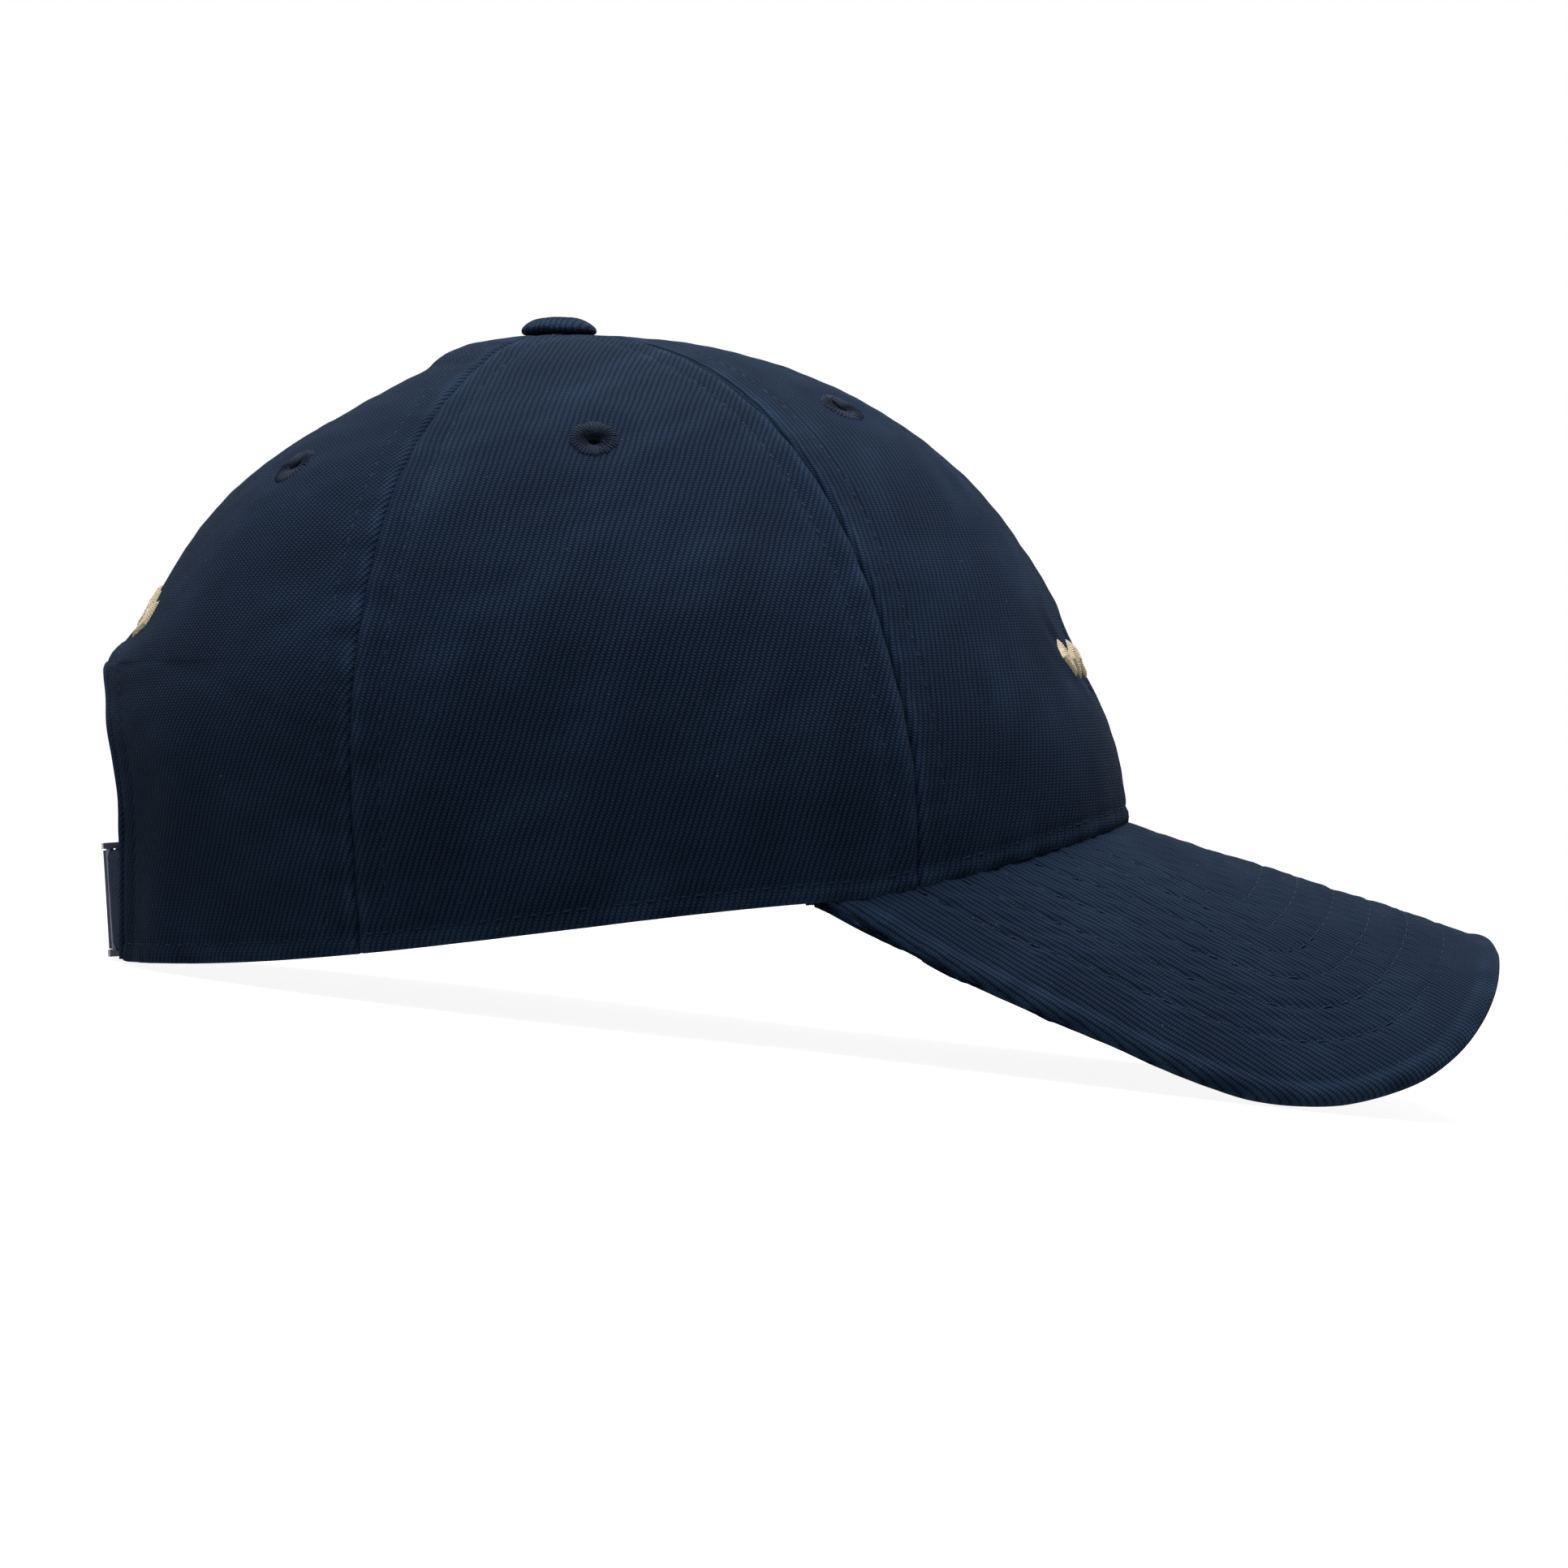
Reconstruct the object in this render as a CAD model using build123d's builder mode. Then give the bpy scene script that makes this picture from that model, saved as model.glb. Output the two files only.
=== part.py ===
from build123d import *
import os
from math import cos, hypot, radians, sin, sqrt

# Six-panel baseball cap. It is designed as worn (X forward, Y to the wearer's left, Z up) and is
# then tipped and shifted into its resting place on a table: +Z up, origin under its middle.

# Crown: two half-ellipsoids meeting under the button, on an upright elliptical skirt
CROWN_X = -14.0
CROWN_FRONT = 115.0
CROWN_BACK = 92.0
CROWN_SIDE = 81.0
CROWN_RISE = 101.5
CROWN_MID_Z = 25.0
CROWN_TOP_Z = CROWN_MID_Z + CROWN_RISE
SKIRT_DEPTH = 45.0
APEX_HOLE = 2.4

# Cloth layers of the crown, as depths under its outer face
FABRIC = (0.0, 1.0)
BUCKRAM = (1.15, 1.7)
TAPE = (1.9, 2.5)
BINDING = (-0.6, 1.05)
EMBROIDERY = (-0.85, -0.1)
TAPE_WIDTH = 16.0
SEAM_GAP = 0.24

# Seams of the wearer's right side, as azimuths from straight ahead
CENTRE_SEAM = 0.0
FRONT_SEAM = -41.5
REAR_SEAM = -121.0
REAR_SEAM_LEAN = 3.7

# Eyelets: azimuth and height of each on the right side
EYELETS = {"front": (-20.0, 111.0), "side": (-80.5, 103.0), "back": (-150.0, 99.0)}
EYELET_RADIUS = 4.7
EYELET_HOLE = 1.7
EYELET_DEPTH = 2.4

# Rear arch opening
ARCH_HALF_WIDTH = 31.0
ARCH_SPRING_Z = 29.0
BINDING_WIDTH = 1.8

# Sweatband: depth under the crown at the front, side and back
BAND_FRONT = 4.4
BAND_SIDE = 4.2
BAND_BACK = 7.2
BAND_THICKNESS = 1.2
BAND_HEIGHT = 32.0

# Visor: a board bent round a cylinder, between two covers
VISOR_ROOT = (101.0, 0.0, 26.1)
VISOR_SLOPE = 17.6
VISOR_RADIUS = 92.0
VISOR_REACH = 77.0
VISOR_HALF_WIDTH = 75.0
BOARD_THICKNESS = 1.4
COVER_THICKNESS = 0.8
LAYER_GAP = 0.1
BOARD_MARGIN = 1.5
VISOR_TUCK = 1.8

# Button
BUTTON_RADIUS = 7.5
BUTTON_HEIGHT = 3.0
BUTTON_CLOTH = 0.5
BUTTON_METAL = 0.6
BUTTON_SEAT_Z = CROWN_TOP_Z + 0.4
RIVET_STEM = 1.5

# Strap: two bands bent about one leaning axis, joined by a clamp buckle
STRAP_AXIS_X = -31.0
STRAP_MID_Z = 12.6
STRAP_LEAN = 3.5
STRAP_HALF_HEIGHT = 9.3
LONG_STRAP = (70.1, 71.3)
SHORT_STRAP = (71.6, 72.8)
LONG_STRAP_ENDS = (-43.0, 30.0)
SHORT_STRAP_END = 44.0

# Buckle
BUCKLE_HALF_HEIGHT = 11.4
CHEEK = 1.2
BUCKLE_ENDS = (-9.2, 12.2)
BACK_PLATE = (68.9, 69.7)
CHEEK_TOP = 74.8
BAR_ANGLE = 10.0
BAR_RADIUS = 0.75
BAR_AT = 73.3
LOOP_RADIUS = 1.7
PIN_ANGLE = -7.0
PIN_RADIUS = 0.6
KNUCKLE_RADIUS = 1.5
CLASP = (73.0, 74.5)
CLASP_END = 7.6
CLASP_HALF_HEIGHT = 9.9

# Resting place: nose up onto the visor's two side edges and the back of the base
REST_PITCH = 6.6
REST_X = -32.4
REST_Z = 11.5

os.makedirs("parts", exist_ok=True)


def save(piece, label):
    """Tip a finished piece into its resting place and write it to its own file."""
    rested = Pos(REST_X, 0, REST_Z) * Rot(0, -REST_PITCH, 0) * piece
    rested.label = label
    export_step(rested, f"parts/{label}.step")


# ---------------------------------------------------------------- shared crown geometry


def half_layer(outer, inner, length, side, rise):
    """Half a turn of shell, from its skirt to the hole at the top, stretched to the given length."""
    with BuildPart() as half:
        with BuildSketch(Plane.YZ):
            with BuildLine():
                EllipticalCenterArc((0, 0), side - outer, rise - outer, arc_size=90)
                Line((0, rise - outer), (0, rise - inner))
                EllipticalCenterArc((0, 0), side - inner, rise - inner, arc_size=90)
                Polyline(
                    (side - inner, 0),
                    (side - inner, -SKIRT_DEPTH),
                    (side - outer, -SKIRT_DEPTH),
                    (side - outer, 0),
                )
            make_face()
            with Locations((0, rise)):
                Rectangle(2 * APEX_HOLE, 20, mode=Mode.SUBTRACT)
        revolve(axis=Axis.Z, revolution_arc=180)
        scale(by=(length / side, 1, 1))
    return half.part


def crown_layer(outer, inner, front=CROWN_FRONT, back=CROWN_BACK, side=CROWN_SIDE, rise=CROWN_RISE):
    """The whole crown shell between two depths under its outer face."""
    front_half = half_layer(outer, inner, front, side, rise).rotate(Axis.Z, 180)
    back_half = half_layer(outer, inner, back, side, rise)
    with BuildPart() as layer:
        with Locations((CROWN_X, 0, CROWN_MID_Z)):
            add(front_half)
            add(back_half)
    return layer.part


def seam_plane(azimuth, lean=0.0, shift=0.0):
    """Upright plane through the button at an azimuth; its positive side is the next azimuth up."""
    along = (cos(radians(azimuth)), sin(radians(azimuth)), 0)
    tilt = radians(lean)
    normal = (-along[1] * cos(tilt), along[0] * cos(tilt), sin(tilt))
    return Plane(origin=(CROWN_X, 0, CROWN_TOP_Z), x_dir=along, z_dir=normal).offset(shift)


def crown_point(azimuth, height):
    """Plane touching the crown's outer face at an azimuth and height, facing outward."""
    length = CROWN_FRONT if abs(azimuth) < 90 else CROWN_BACK
    across = sqrt(1 - ((height - CROWN_MID_Z) / CROWN_RISE) ** 2)
    reach = across / hypot(cos(radians(azimuth)) / length, sin(radians(azimuth)) / CROWN_SIDE)
    x = reach * cos(radians(azimuth))
    y = reach * sin(radians(azimuth))
    normal = (x / length**2, y / CROWN_SIDE**2, (height - CROWN_MID_Z) / CROWN_RISE**2)
    return Plane(origin=(CROWN_X + x, y, height), z_dir=normal)


def below_base(lift=0.0):
    """Everything under the crown's lower edge, which rises gently from back to front."""
    with BuildPart() as ground:
        with BuildSketch(Plane.XZ):
            with BuildLine():
                edge = Spline((-125, 0.5 + lift), (-60, 2.2 + lift), (0, 9.6 + lift), (120, 18 + lift))
                Polyline(edge @ 1, (120, -80), (-125, -80), edge @ 0)
            make_face()
        extrude(amount=110, both=True)
    return ground.part


def arch(margin):
    """The rear opening, grown by a margin and running out through the back."""
    half = ARCH_HALF_WIDTH + margin
    with BuildPart() as opening:
        with BuildSketch(Plane.YZ.offset(-50)):
            with Locations((0, ARCH_SPRING_Z)):
                Circle(half)
            with Locations((0, ARCH_SPRING_Z - 40)):
                Rectangle(2 * half, 80)
        extrude(amount=-80)
    return opening.part


# ---------------------------------------------------------------- shared visor geometry

visor_plane = Plane(
    origin=VISOR_ROOT,
    x_dir=(cos(radians(VISOR_SLOPE)), 0, -sin(radians(VISOR_SLOPE))),
    z_dir=(sin(radians(VISOR_SLOPE)), 0, cos(radians(VISOR_SLOPE))),
)


def bend_plane(start):
    """Plane across the visor's bend axis, at a distance forward of the visor's root."""
    middle = visor_plane.from_local_coords((start, 0, -VISOR_RADIUS))
    return Plane(origin=middle, x_dir=(0, 1, 0), z_dir=visor_plane.x_dir)


def visor_room():
    """Solid cylinder filled up to just over the visor's top cover."""
    top = BOARD_THICKNESS / 2 + LAYER_GAP + COVER_THICKNESS
    with BuildPart() as room:
        with BuildSketch(bend_plane(-62)):
            Circle(VISOR_RADIUS + top + LAYER_GAP)
        extrude(amount=150)
    return room.part


def visor_sheet(low, high, margin):
    """One bent layer of the visor between two heights off its middle surface."""
    with BuildPart() as sheet:
        with BuildSketch(bend_plane(-90)):
            Circle(VISOR_RADIUS + high)
            Circle(VISOR_RADIUS + low, mode=Mode.SUBTRACT)
        extrude(amount=180)
        with BuildSketch(visor_plane.offset(-70)):
            with BuildLine():
                right = Spline(
                    (-57, -68),
                    (-20, -73),
                    (8, -VISOR_HALF_WIDTH),
                    (46, -74.4),
                    (68.5, -62.5),
                    (76.5, -40),
                    (VISOR_REACH, 0),
                    tangents=((1, -0.15), (0, 1)),
                )
                left = mirror(right, about=Plane.XZ)
                Line(right @ 0, left @ 0)
            make_face()
            scale(by=(1 - margin / VISOR_REACH, 1 - margin / VISOR_HALF_WIDTH, 1))
        extrude(amount=90, mode=Mode.INTERSECT)
        with BuildSketch(Plane.XY.offset(-60)):
            with Locations((CROWN_X, 0)):
                Ellipse(CROWN_FRONT - VISOR_TUCK, CROWN_SIDE - VISOR_TUCK)
        extrude(amount=120, mode=Mode.SUBTRACT)
    return sheet.part


# ---------------------------------------------------------------- crown panels

cloth = crown_layer(*FABRIC)
ground = below_base()
visor_space = visor_room()
panel_arch = arch(BINDING_WIDTH)


def eyelet_hole(where):
    """Cut the current piece clear of one eyelet."""
    with Locations(crown_point(*EYELETS[where])):
        Cylinder(EYELET_RADIUS + 0.1, 14, mode=Mode.SUBTRACT)


with BuildPart() as panel_front_right:
    add(cloth)
    split(bisect_by=seam_plane(CENTRE_SEAM, shift=-SEAM_GAP / 2), keep=Keep.BOTTOM)
    split(bisect_by=seam_plane(FRONT_SEAM, shift=SEAM_GAP / 2), keep=Keep.TOP)
    add(ground, mode=Mode.SUBTRACT)
    add(visor_space, mode=Mode.SUBTRACT)
    eyelet_hole("front")

with BuildPart() as panel_side_right:
    add(cloth)
    split(bisect_by=seam_plane(FRONT_SEAM, shift=-SEAM_GAP / 2), keep=Keep.BOTTOM)
    split(bisect_by=seam_plane(REAR_SEAM, REAR_SEAM_LEAN, SEAM_GAP / 2), keep=Keep.TOP)
    add(ground, mode=Mode.SUBTRACT)
    add(visor_space, mode=Mode.SUBTRACT)
    eyelet_hole("side")

with BuildPart() as panel_back_right:
    add(cloth)
    split(bisect_by=seam_plane(CENTRE_SEAM, shift=-SEAM_GAP / 2), keep=Keep.BOTTOM)
    split(bisect_by=seam_plane(REAR_SEAM, REAR_SEAM_LEAN, -SEAM_GAP / 2), keep=Keep.BOTTOM)
    add(ground, mode=Mode.SUBTRACT)
    add(panel_arch, mode=Mode.SUBTRACT)
    eyelet_hole("back")

save(panel_front_right.part, "panel_front_right")
save(panel_side_right.part, "panel_side_right")
save(panel_back_right.part, "panel_back_right")
save(mirror(panel_front_right.part, about=Plane.XZ), "panel_front_left")
save(mirror(panel_side_right.part, about=Plane.XZ), "panel_side_left")
save(mirror(panel_back_right.part, about=Plane.XZ), "panel_back_left")


# ---------------------------------------------------------------- buckram behind the front panels

stiff_layer = crown_layer(*BUCKRAM)

with BuildPart() as buckram_front_right:
    add(stiff_layer)
    split(bisect_by=seam_plane(CENTRE_SEAM, shift=-SEAM_GAP), keep=Keep.BOTTOM)
    split(bisect_by=seam_plane(FRONT_SEAM, shift=SEAM_GAP), keep=Keep.TOP)
    add(ground, mode=Mode.SUBTRACT)
    add(visor_space, mode=Mode.SUBTRACT)
    eyelet_hole("front")

save(buckram_front_right.part, "buckram_front_right")
save(mirror(buckram_front_right.part, about=Plane.XZ), "buckram_front_left")


# ---------------------------------------------------------------- seam tapes

tape_layer = crown_layer(*TAPE)


def seam_tape(azimuth, lean, share_above, share_below):
    """Tape along one seam, trimmed to its own share of the crown between the neighbouring tapes."""
    with BuildPart() as tape:
        add(tape_layer)
        split(bisect_by=seam_plane(azimuth, lean, TAPE_WIDTH / 2), keep=Keep.BOTTOM)
        split(bisect_by=seam_plane(azimuth, lean, -TAPE_WIDTH / 2), keep=Keep.TOP)
        split(bisect_by=seam_plane(share_above, shift=-SEAM_GAP), keep=Keep.BOTTOM)
        split(bisect_by=seam_plane(share_below, shift=SEAM_GAP), keep=Keep.TOP)
        add(ground, mode=Mode.SUBTRACT)
        add(visor_space, mode=Mode.SUBTRACT)
    return tape.part


FRONT_SHARE = (CENTRE_SEAM + FRONT_SEAM) / 2
SIDE_SHARE = (FRONT_SEAM + REAR_SEAM) / 2
BACK_SHARE = (REAR_SEAM - 180) / 2

tape_front_right = seam_tape(FRONT_SEAM, 0, FRONT_SHARE, SIDE_SHARE)
tape_back_right = seam_tape(REAR_SEAM, REAR_SEAM_LEAN, SIDE_SHARE, BACK_SHARE)
tape_full_back = seam_tape(180, 0, 360 + BACK_SHARE, -BACK_SHARE)

with BuildPart() as tape_back_centre:
    add(tape_full_back)
    add(panel_arch, mode=Mode.SUBTRACT)

save(tape_front_right, "tape_front_right")
save(mirror(tape_front_right, about=Plane.XZ), "tape_front_left")
save(tape_back_right, "tape_back_right")
save(mirror(tape_back_right, about=Plane.XZ), "tape_back_left")
save(seam_tape(CENTRE_SEAM, 0, -FRONT_SHARE, FRONT_SHARE), "tape_front_centre")
save(tape_back_centre.part, "tape_back_centre")


# ---------------------------------------------------------------- sweatband

band_layer = crown_layer(
    0,
    BAND_THICKNESS,
    CROWN_FRONT - BAND_FRONT,
    CROWN_BACK - BAND_BACK,
    CROWN_SIDE - BAND_SIDE,
    CROWN_RISE - BAND_SIDE,
)
band_reach = below_base(BAND_HEIGHT)

with BuildPart() as sweatband:
    add(band_layer)
    add(band_reach, mode=Mode.INTERSECT)
    add(ground, mode=Mode.SUBTRACT)
    add(visor_space, mode=Mode.SUBTRACT)
    add(panel_arch, mode=Mode.SUBTRACT)

save(sweatband.part, "sweatband")


# ---------------------------------------------------------------- rear arch binding

binding_layer = crown_layer(*BINDING)
binding_foot = below_base(0.5)
binding_reach = arch(BINDING_WIDTH - LAYER_GAP)
open_arch = arch(0)

with BuildPart() as arch_binding:
    add(binding_layer)
    add(binding_reach, mode=Mode.INTERSECT)
    add(open_arch, mode=Mode.SUBTRACT)
    add(binding_foot, mode=Mode.SUBTRACT)

save(arch_binding.part, "arch_binding")


# ---------------------------------------------------------------- eyelets


def eyelet(where):
    """Stitched ring through the cloth, with its small hole."""
    with BuildPart() as ring:
        with Locations(crown_point(*EYELETS[where]).offset(-FABRIC[1] / 2)):
            Cylinder(EYELET_RADIUS, EYELET_DEPTH)
            Cylinder(EYELET_HOLE, 10, mode=Mode.SUBTRACT)
    return ring.part


for where in EYELETS:
    ring = eyelet(where)
    save(ring, f"eyelet_{where}_right")
    save(mirror(ring, about=Plane.XZ), f"eyelet_{where}_left")


# ---------------------------------------------------------------- visor

middle = BOARD_THICKNESS / 2
cover_low = middle + LAYER_GAP
cover_high = cover_low + COVER_THICKNESS

save(visor_sheet(-middle, middle, BOARD_MARGIN), "visor_board")
save(visor_sheet(cover_low, cover_high, 0), "visor_top_cover")
save(visor_sheet(-cover_high, -cover_low, 0), "visor_under_cover")


# ---------------------------------------------------------------- button


def turned_cap(radius, height, wall):
    """Shallow domed cap with an even wall, turned about the button's axis."""
    with BuildPart() as cap:
        with BuildSketch(Plane.XZ):
            with BuildLine():
                outer = TangentArc((0, height), (radius, 0), tangent=(1, 0))
                inner = TangentArc((0, height - wall), (radius - wall, 0), tangent=(1, 0))
                Line(outer @ 0, inner @ 0)
                Line(outer @ 1, inner @ 1)
            make_face()
        revolve(axis=Axis.Z)
    return Pos(CROWN_X, 0, BUTTON_SEAT_Z) * cap.part


step_in = BUTTON_CLOTH + LAYER_GAP
cloth_cap = turned_cap(BUTTON_RADIUS, BUTTON_HEIGHT, BUTTON_CLOTH)
metal_cap = turned_cap(BUTTON_RADIUS - step_in, BUTTON_HEIGHT - step_in, BUTTON_METAL)

with BuildPart() as button_rivet:
    with Locations((CROWN_X, 0, BUTTON_SEAT_Z - 2.4)):
        Cylinder(RIVET_STEM, 7.0)
    with Locations((CROWN_X, 0, BUTTON_SEAT_Z + 0.9)):
        Cylinder(RIVET_STEM + 1.4, 0.5)
    with Locations((CROWN_X, 0, BUTTON_SEAT_Z - 5.0)):
        Cylinder(BUTTON_RADIUS - 1.5, 1.0)

save(cloth_cap, "button_fabric_cover")
save(metal_cap, "button_shell")
save(button_rivet.part, "button_rivet")


# ---------------------------------------------------------------- strap and buckle

lean = radians(STRAP_LEAN)
strap_plane = Plane(
    origin=(STRAP_AXIS_X, 0, STRAP_MID_Z + LONG_STRAP[1] * sin(lean)),
    x_dir=(-cos(lean), 0, -sin(lean)),
    z_dir=(-sin(lean), 0, cos(lean)),
)


def bent_band(radii, start, end, low, high):
    """Band bent about the strap's axis, between two angles measured towards the wearer's right."""
    with BuildPart() as band:
        with BuildSketch(strap_plane.offset(low)):
            with BuildLine():
                outer = CenterArc((0, 0), radii[1], start, end - start)
                inner = CenterArc((0, 0), radii[0], start, end - start)
                Line(outer @ 0, inner @ 0)
                Line(outer @ 1, inner @ 1)
            make_face()
        extrude(amount=high - low)
    return band.part


def post(angle, radius, half_height):
    """Upright round bar standing at an angle round the strap's axis."""
    with BuildPart() as bar:
        with BuildSketch(strap_plane.offset(-half_height)):
            with PolarLocations(BAR_AT, 1, start_angle=angle):
                Circle(radius)
        extrude(amount=2 * half_height)
    return bar.part


strap_span = (-STRAP_HALF_HEIGHT, STRAP_HALF_HEIGHT)
clasp_span = (-CLASP_HALF_HEIGHT, CLASP_HALF_HEIGHT)
buckle_span = (-BUCKLE_HALF_HEIGHT, BUCKLE_HALF_HEIGHT)
cheek_radii = (BACK_PLATE[0], CHEEK_TOP)

strap_long = bent_band(LONG_STRAP, *LONG_STRAP_ENDS, *strap_span)

short_band = bent_band(SHORT_STRAP, BAR_ANGLE, SHORT_STRAP_END, *strap_span)
short_loop = post(BAR_ANGLE, LOOP_RADIUS, STRAP_HALF_HEIGHT)
loop_hole = post(BAR_ANGLE, BAR_RADIUS + LAYER_GAP, STRAP_HALF_HEIGHT)
strap_short = short_band + short_loop - loop_hole

back_plate = bent_band(BACK_PLATE, *BUCKLE_ENDS, *buckle_span)
lower_cheek = bent_band(cheek_radii, *BUCKLE_ENDS, -BUCKLE_HALF_HEIGHT, CHEEK - BUCKLE_HALF_HEIGHT)
upper_cheek = bent_band(cheek_radii, *BUCKLE_ENDS, BUCKLE_HALF_HEIGHT - CHEEK, BUCKLE_HALF_HEIGHT)
loop_bar = post(BAR_ANGLE, BAR_RADIUS, BUCKLE_HALF_HEIGHT)
pin_bore = post(PIN_ANGLE, PIN_RADIUS + LAYER_GAP / 2, BUCKLE_HALF_HEIGHT + 1)
buckle_frame = back_plate + lower_cheek + upper_cheek + loop_bar - pin_bore

clasp_plate = bent_band(CLASP, PIN_ANGLE, CLASP_END, *clasp_span)
clasp_knuckle = post(PIN_ANGLE, KNUCKLE_RADIUS, CLASP_HALF_HEIGHT)
clasp_bore = post(PIN_ANGLE, PIN_RADIUS + LAYER_GAP, CLASP_HALF_HEIGHT)
buckle_clasp = clasp_plate + clasp_knuckle - clasp_bore

save(strap_long, "strap_long")
save(strap_short, "strap_short")
save(buckle_frame, "buckle_frame")
save(post(PIN_ANGLE, PIN_RADIUS, BUCKLE_HALF_HEIGHT), "buckle_pin")
save(buckle_clasp, "buckle_clasp")


# ---------------------------------------------------------------- embroidery

MOTIF_WIDTH = 5.6
MOTIF_HEIGHT = 7.5
MOTIF_STEP = 6.0
MOTIF_COUNT = 7
CORD_WIDTH = 1.2
FRONT_MOTIF_Z = 61.0
BACK_MOTIF_RADIUS = 43.5
BACK_MOTIF_STEP = 8.2


with BuildSketch() as motif:
    with BuildLine():
        Polyline(
            (0, MOTIF_HEIGHT / 2),
            (MOTIF_WIDTH / 2, 0),
            (0, -MOTIF_HEIGHT / 2),
            (-MOTIF_WIDTH / 2, 0),
            close=True,
        )
    make_face()

embroidery_layer = crown_layer(*EMBROIDERY)
motif_span = (MOTIF_COUNT - 1) * MOTIF_STEP
motif_sweep = (MOTIF_COUNT - 1) * BACK_MOTIF_STEP

with BuildPart() as embroidery_front:
    with BuildSketch(Plane.YZ.offset(60)):
        with Locations((0, FRONT_MOTIF_Z)):
            Rectangle(motif_span, CORD_WIDTH)
            with GridLocations(MOTIF_STEP, 0, MOTIF_COUNT, 1):
                add(motif.sketch)
    extrude(amount=60)
    add(embroidery_layer, mode=Mode.INTERSECT)

with BuildPart() as embroidery_back:
    with BuildSketch(Plane.YZ.offset(-60)):
        with BuildLine():
            first = 90 - motif_sweep / 2
            upper = CenterArc((0, ARCH_SPRING_Z), BACK_MOTIF_RADIUS + CORD_WIDTH / 2, first, motif_sweep)
            lower = CenterArc((0, ARCH_SPRING_Z), BACK_MOTIF_RADIUS - CORD_WIDTH / 2, first, motif_sweep)
            Line(upper @ 0, lower @ 0)
            Line(upper @ 1, lower @ 1)
        make_face()
        for step in range(MOTIF_COUNT):
            turn = step * BACK_MOTIF_STEP - motif_sweep / 2
            add(Pos(0, ARCH_SPRING_Z) * Rot(0, 0, turn) * Pos(0, BACK_MOTIF_RADIUS) * motif.sketch)
    extrude(amount=-60)
    add(embroidery_layer, mode=Mode.INTERSECT)

save(embroidery_front.part, "embroidery_front")
save(embroidery_back.part, "embroidery_back")
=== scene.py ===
"""Baseball cap: cloth, stitching and materials on the CAD frame.
Shapes are worked out in the worn position, in millimetres (X forward, Y left, Z up), and to_row() tips
them into the resting position of the frame, in metres."""
import math

import bpy
import numpy as np
from mathutils import Matrix, Vector
from mathutils.kdtree import KDTree


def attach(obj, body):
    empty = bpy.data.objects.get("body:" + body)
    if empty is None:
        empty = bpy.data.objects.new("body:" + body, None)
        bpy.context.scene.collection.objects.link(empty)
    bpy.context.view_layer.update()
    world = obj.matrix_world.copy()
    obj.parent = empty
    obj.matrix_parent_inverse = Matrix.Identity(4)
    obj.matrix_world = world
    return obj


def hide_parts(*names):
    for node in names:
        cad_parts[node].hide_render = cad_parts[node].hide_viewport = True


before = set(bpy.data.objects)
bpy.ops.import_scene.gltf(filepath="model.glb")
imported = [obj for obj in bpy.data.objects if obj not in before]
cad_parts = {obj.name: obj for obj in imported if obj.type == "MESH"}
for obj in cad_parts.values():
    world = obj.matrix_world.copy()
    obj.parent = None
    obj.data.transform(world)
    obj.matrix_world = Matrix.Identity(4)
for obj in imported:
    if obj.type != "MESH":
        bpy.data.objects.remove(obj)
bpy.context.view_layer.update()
RNG = np.random.default_rng(7)

# ---------- placement

PITCH = math.radians(6.6)
REST_X, REST_Z = -32.4, 11.5


def to_row(p):
    """Worn millimetres to the frame's metres."""
    p = np.asarray(p, float)
    x = p[..., 0] * math.cos(PITCH) - p[..., 2] * math.sin(PITCH) + REST_X
    z = p[..., 0] * math.sin(PITCH) + p[..., 2] * math.cos(PITCH) + REST_Z
    return np.stack([x, p[..., 1], z], -1) / 1000.0


def unit(v):
    """Vectors scaled to length 1."""
    return v / np.linalg.norm(v, axis=-1, keepdims=True)


def run_length(path):
    """Distance along a path, at each of its points."""
    return np.concatenate([[0], np.cumsum(np.linalg.norm(np.diff(path, axis=0), axis=1))])


def bell(x, width):
    """1 at x = 0, falling smoothly to nearly 0 at twice the width."""
    return np.exp(-((x / width) ** 2))


# ---------- crown shape

CROWN_X, FRONT, BACK, SIDE, RISE, MID_Z = -14.0, 115.0, 92.0, 81.0, 101.5, 25.0
TOP_Z = MID_Z + RISE
FRONT_SEAM, REAR_SEAM, REAR_SHIFT = 41.5, 121.0, 5.5
ARCH_HALF, ARCH_Z = 31.0, 29.0
# how far the crown stands off a pure ellipse, as shares of its length: a hollow brow and a squarer top in
# front; a full back above the strap and a flatter slope under the button behind
BROW_HOLLOW, BROW_Z, BROW_WIDTH = 0.018, 62.0, 16.0
TOP_FULLNESS, FULL_FROM_Z, FULL_AT_Z = 0.045, 84.0, 120.0
BACK_FULLNESS, BACK_Z, BACK_WIDTH = 0.036, 51.0, 14.0
NAPE_SLOPE, NAPE_Z, NAPE_WIDTH = 0.082, 117.0, 15.5


def wobble(a, b, seed, wave, n=6):
    """Smooth bumps between about -1 and 1 over two coordinates, with the given wavelength."""
    rng = np.random.default_rng(seed)
    out = 0.0
    for _ in range(n):
        turn, phase = rng.uniform(0, math.tau, 2)
        k = math.tau / wave * rng.uniform(0.6, 1.5)
        out = out + np.sin(k * (a * math.cos(turn) + b * math.sin(turn)) + phase)
    return out / math.sqrt(n)


def front_trim(z):
    hollow = BROW_HOLLOW * bell(z - BROW_Z, BROW_WIDTH)
    full = TOP_FULLNESS * np.clip((z - FULL_FROM_Z) / (FULL_AT_Z - FULL_FROM_Z), 0, 1)
    return full * np.clip(TOP_Z - z, 0, 1) - hollow * np.clip((z - MID_Z) / 12, 0, 1)


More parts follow.
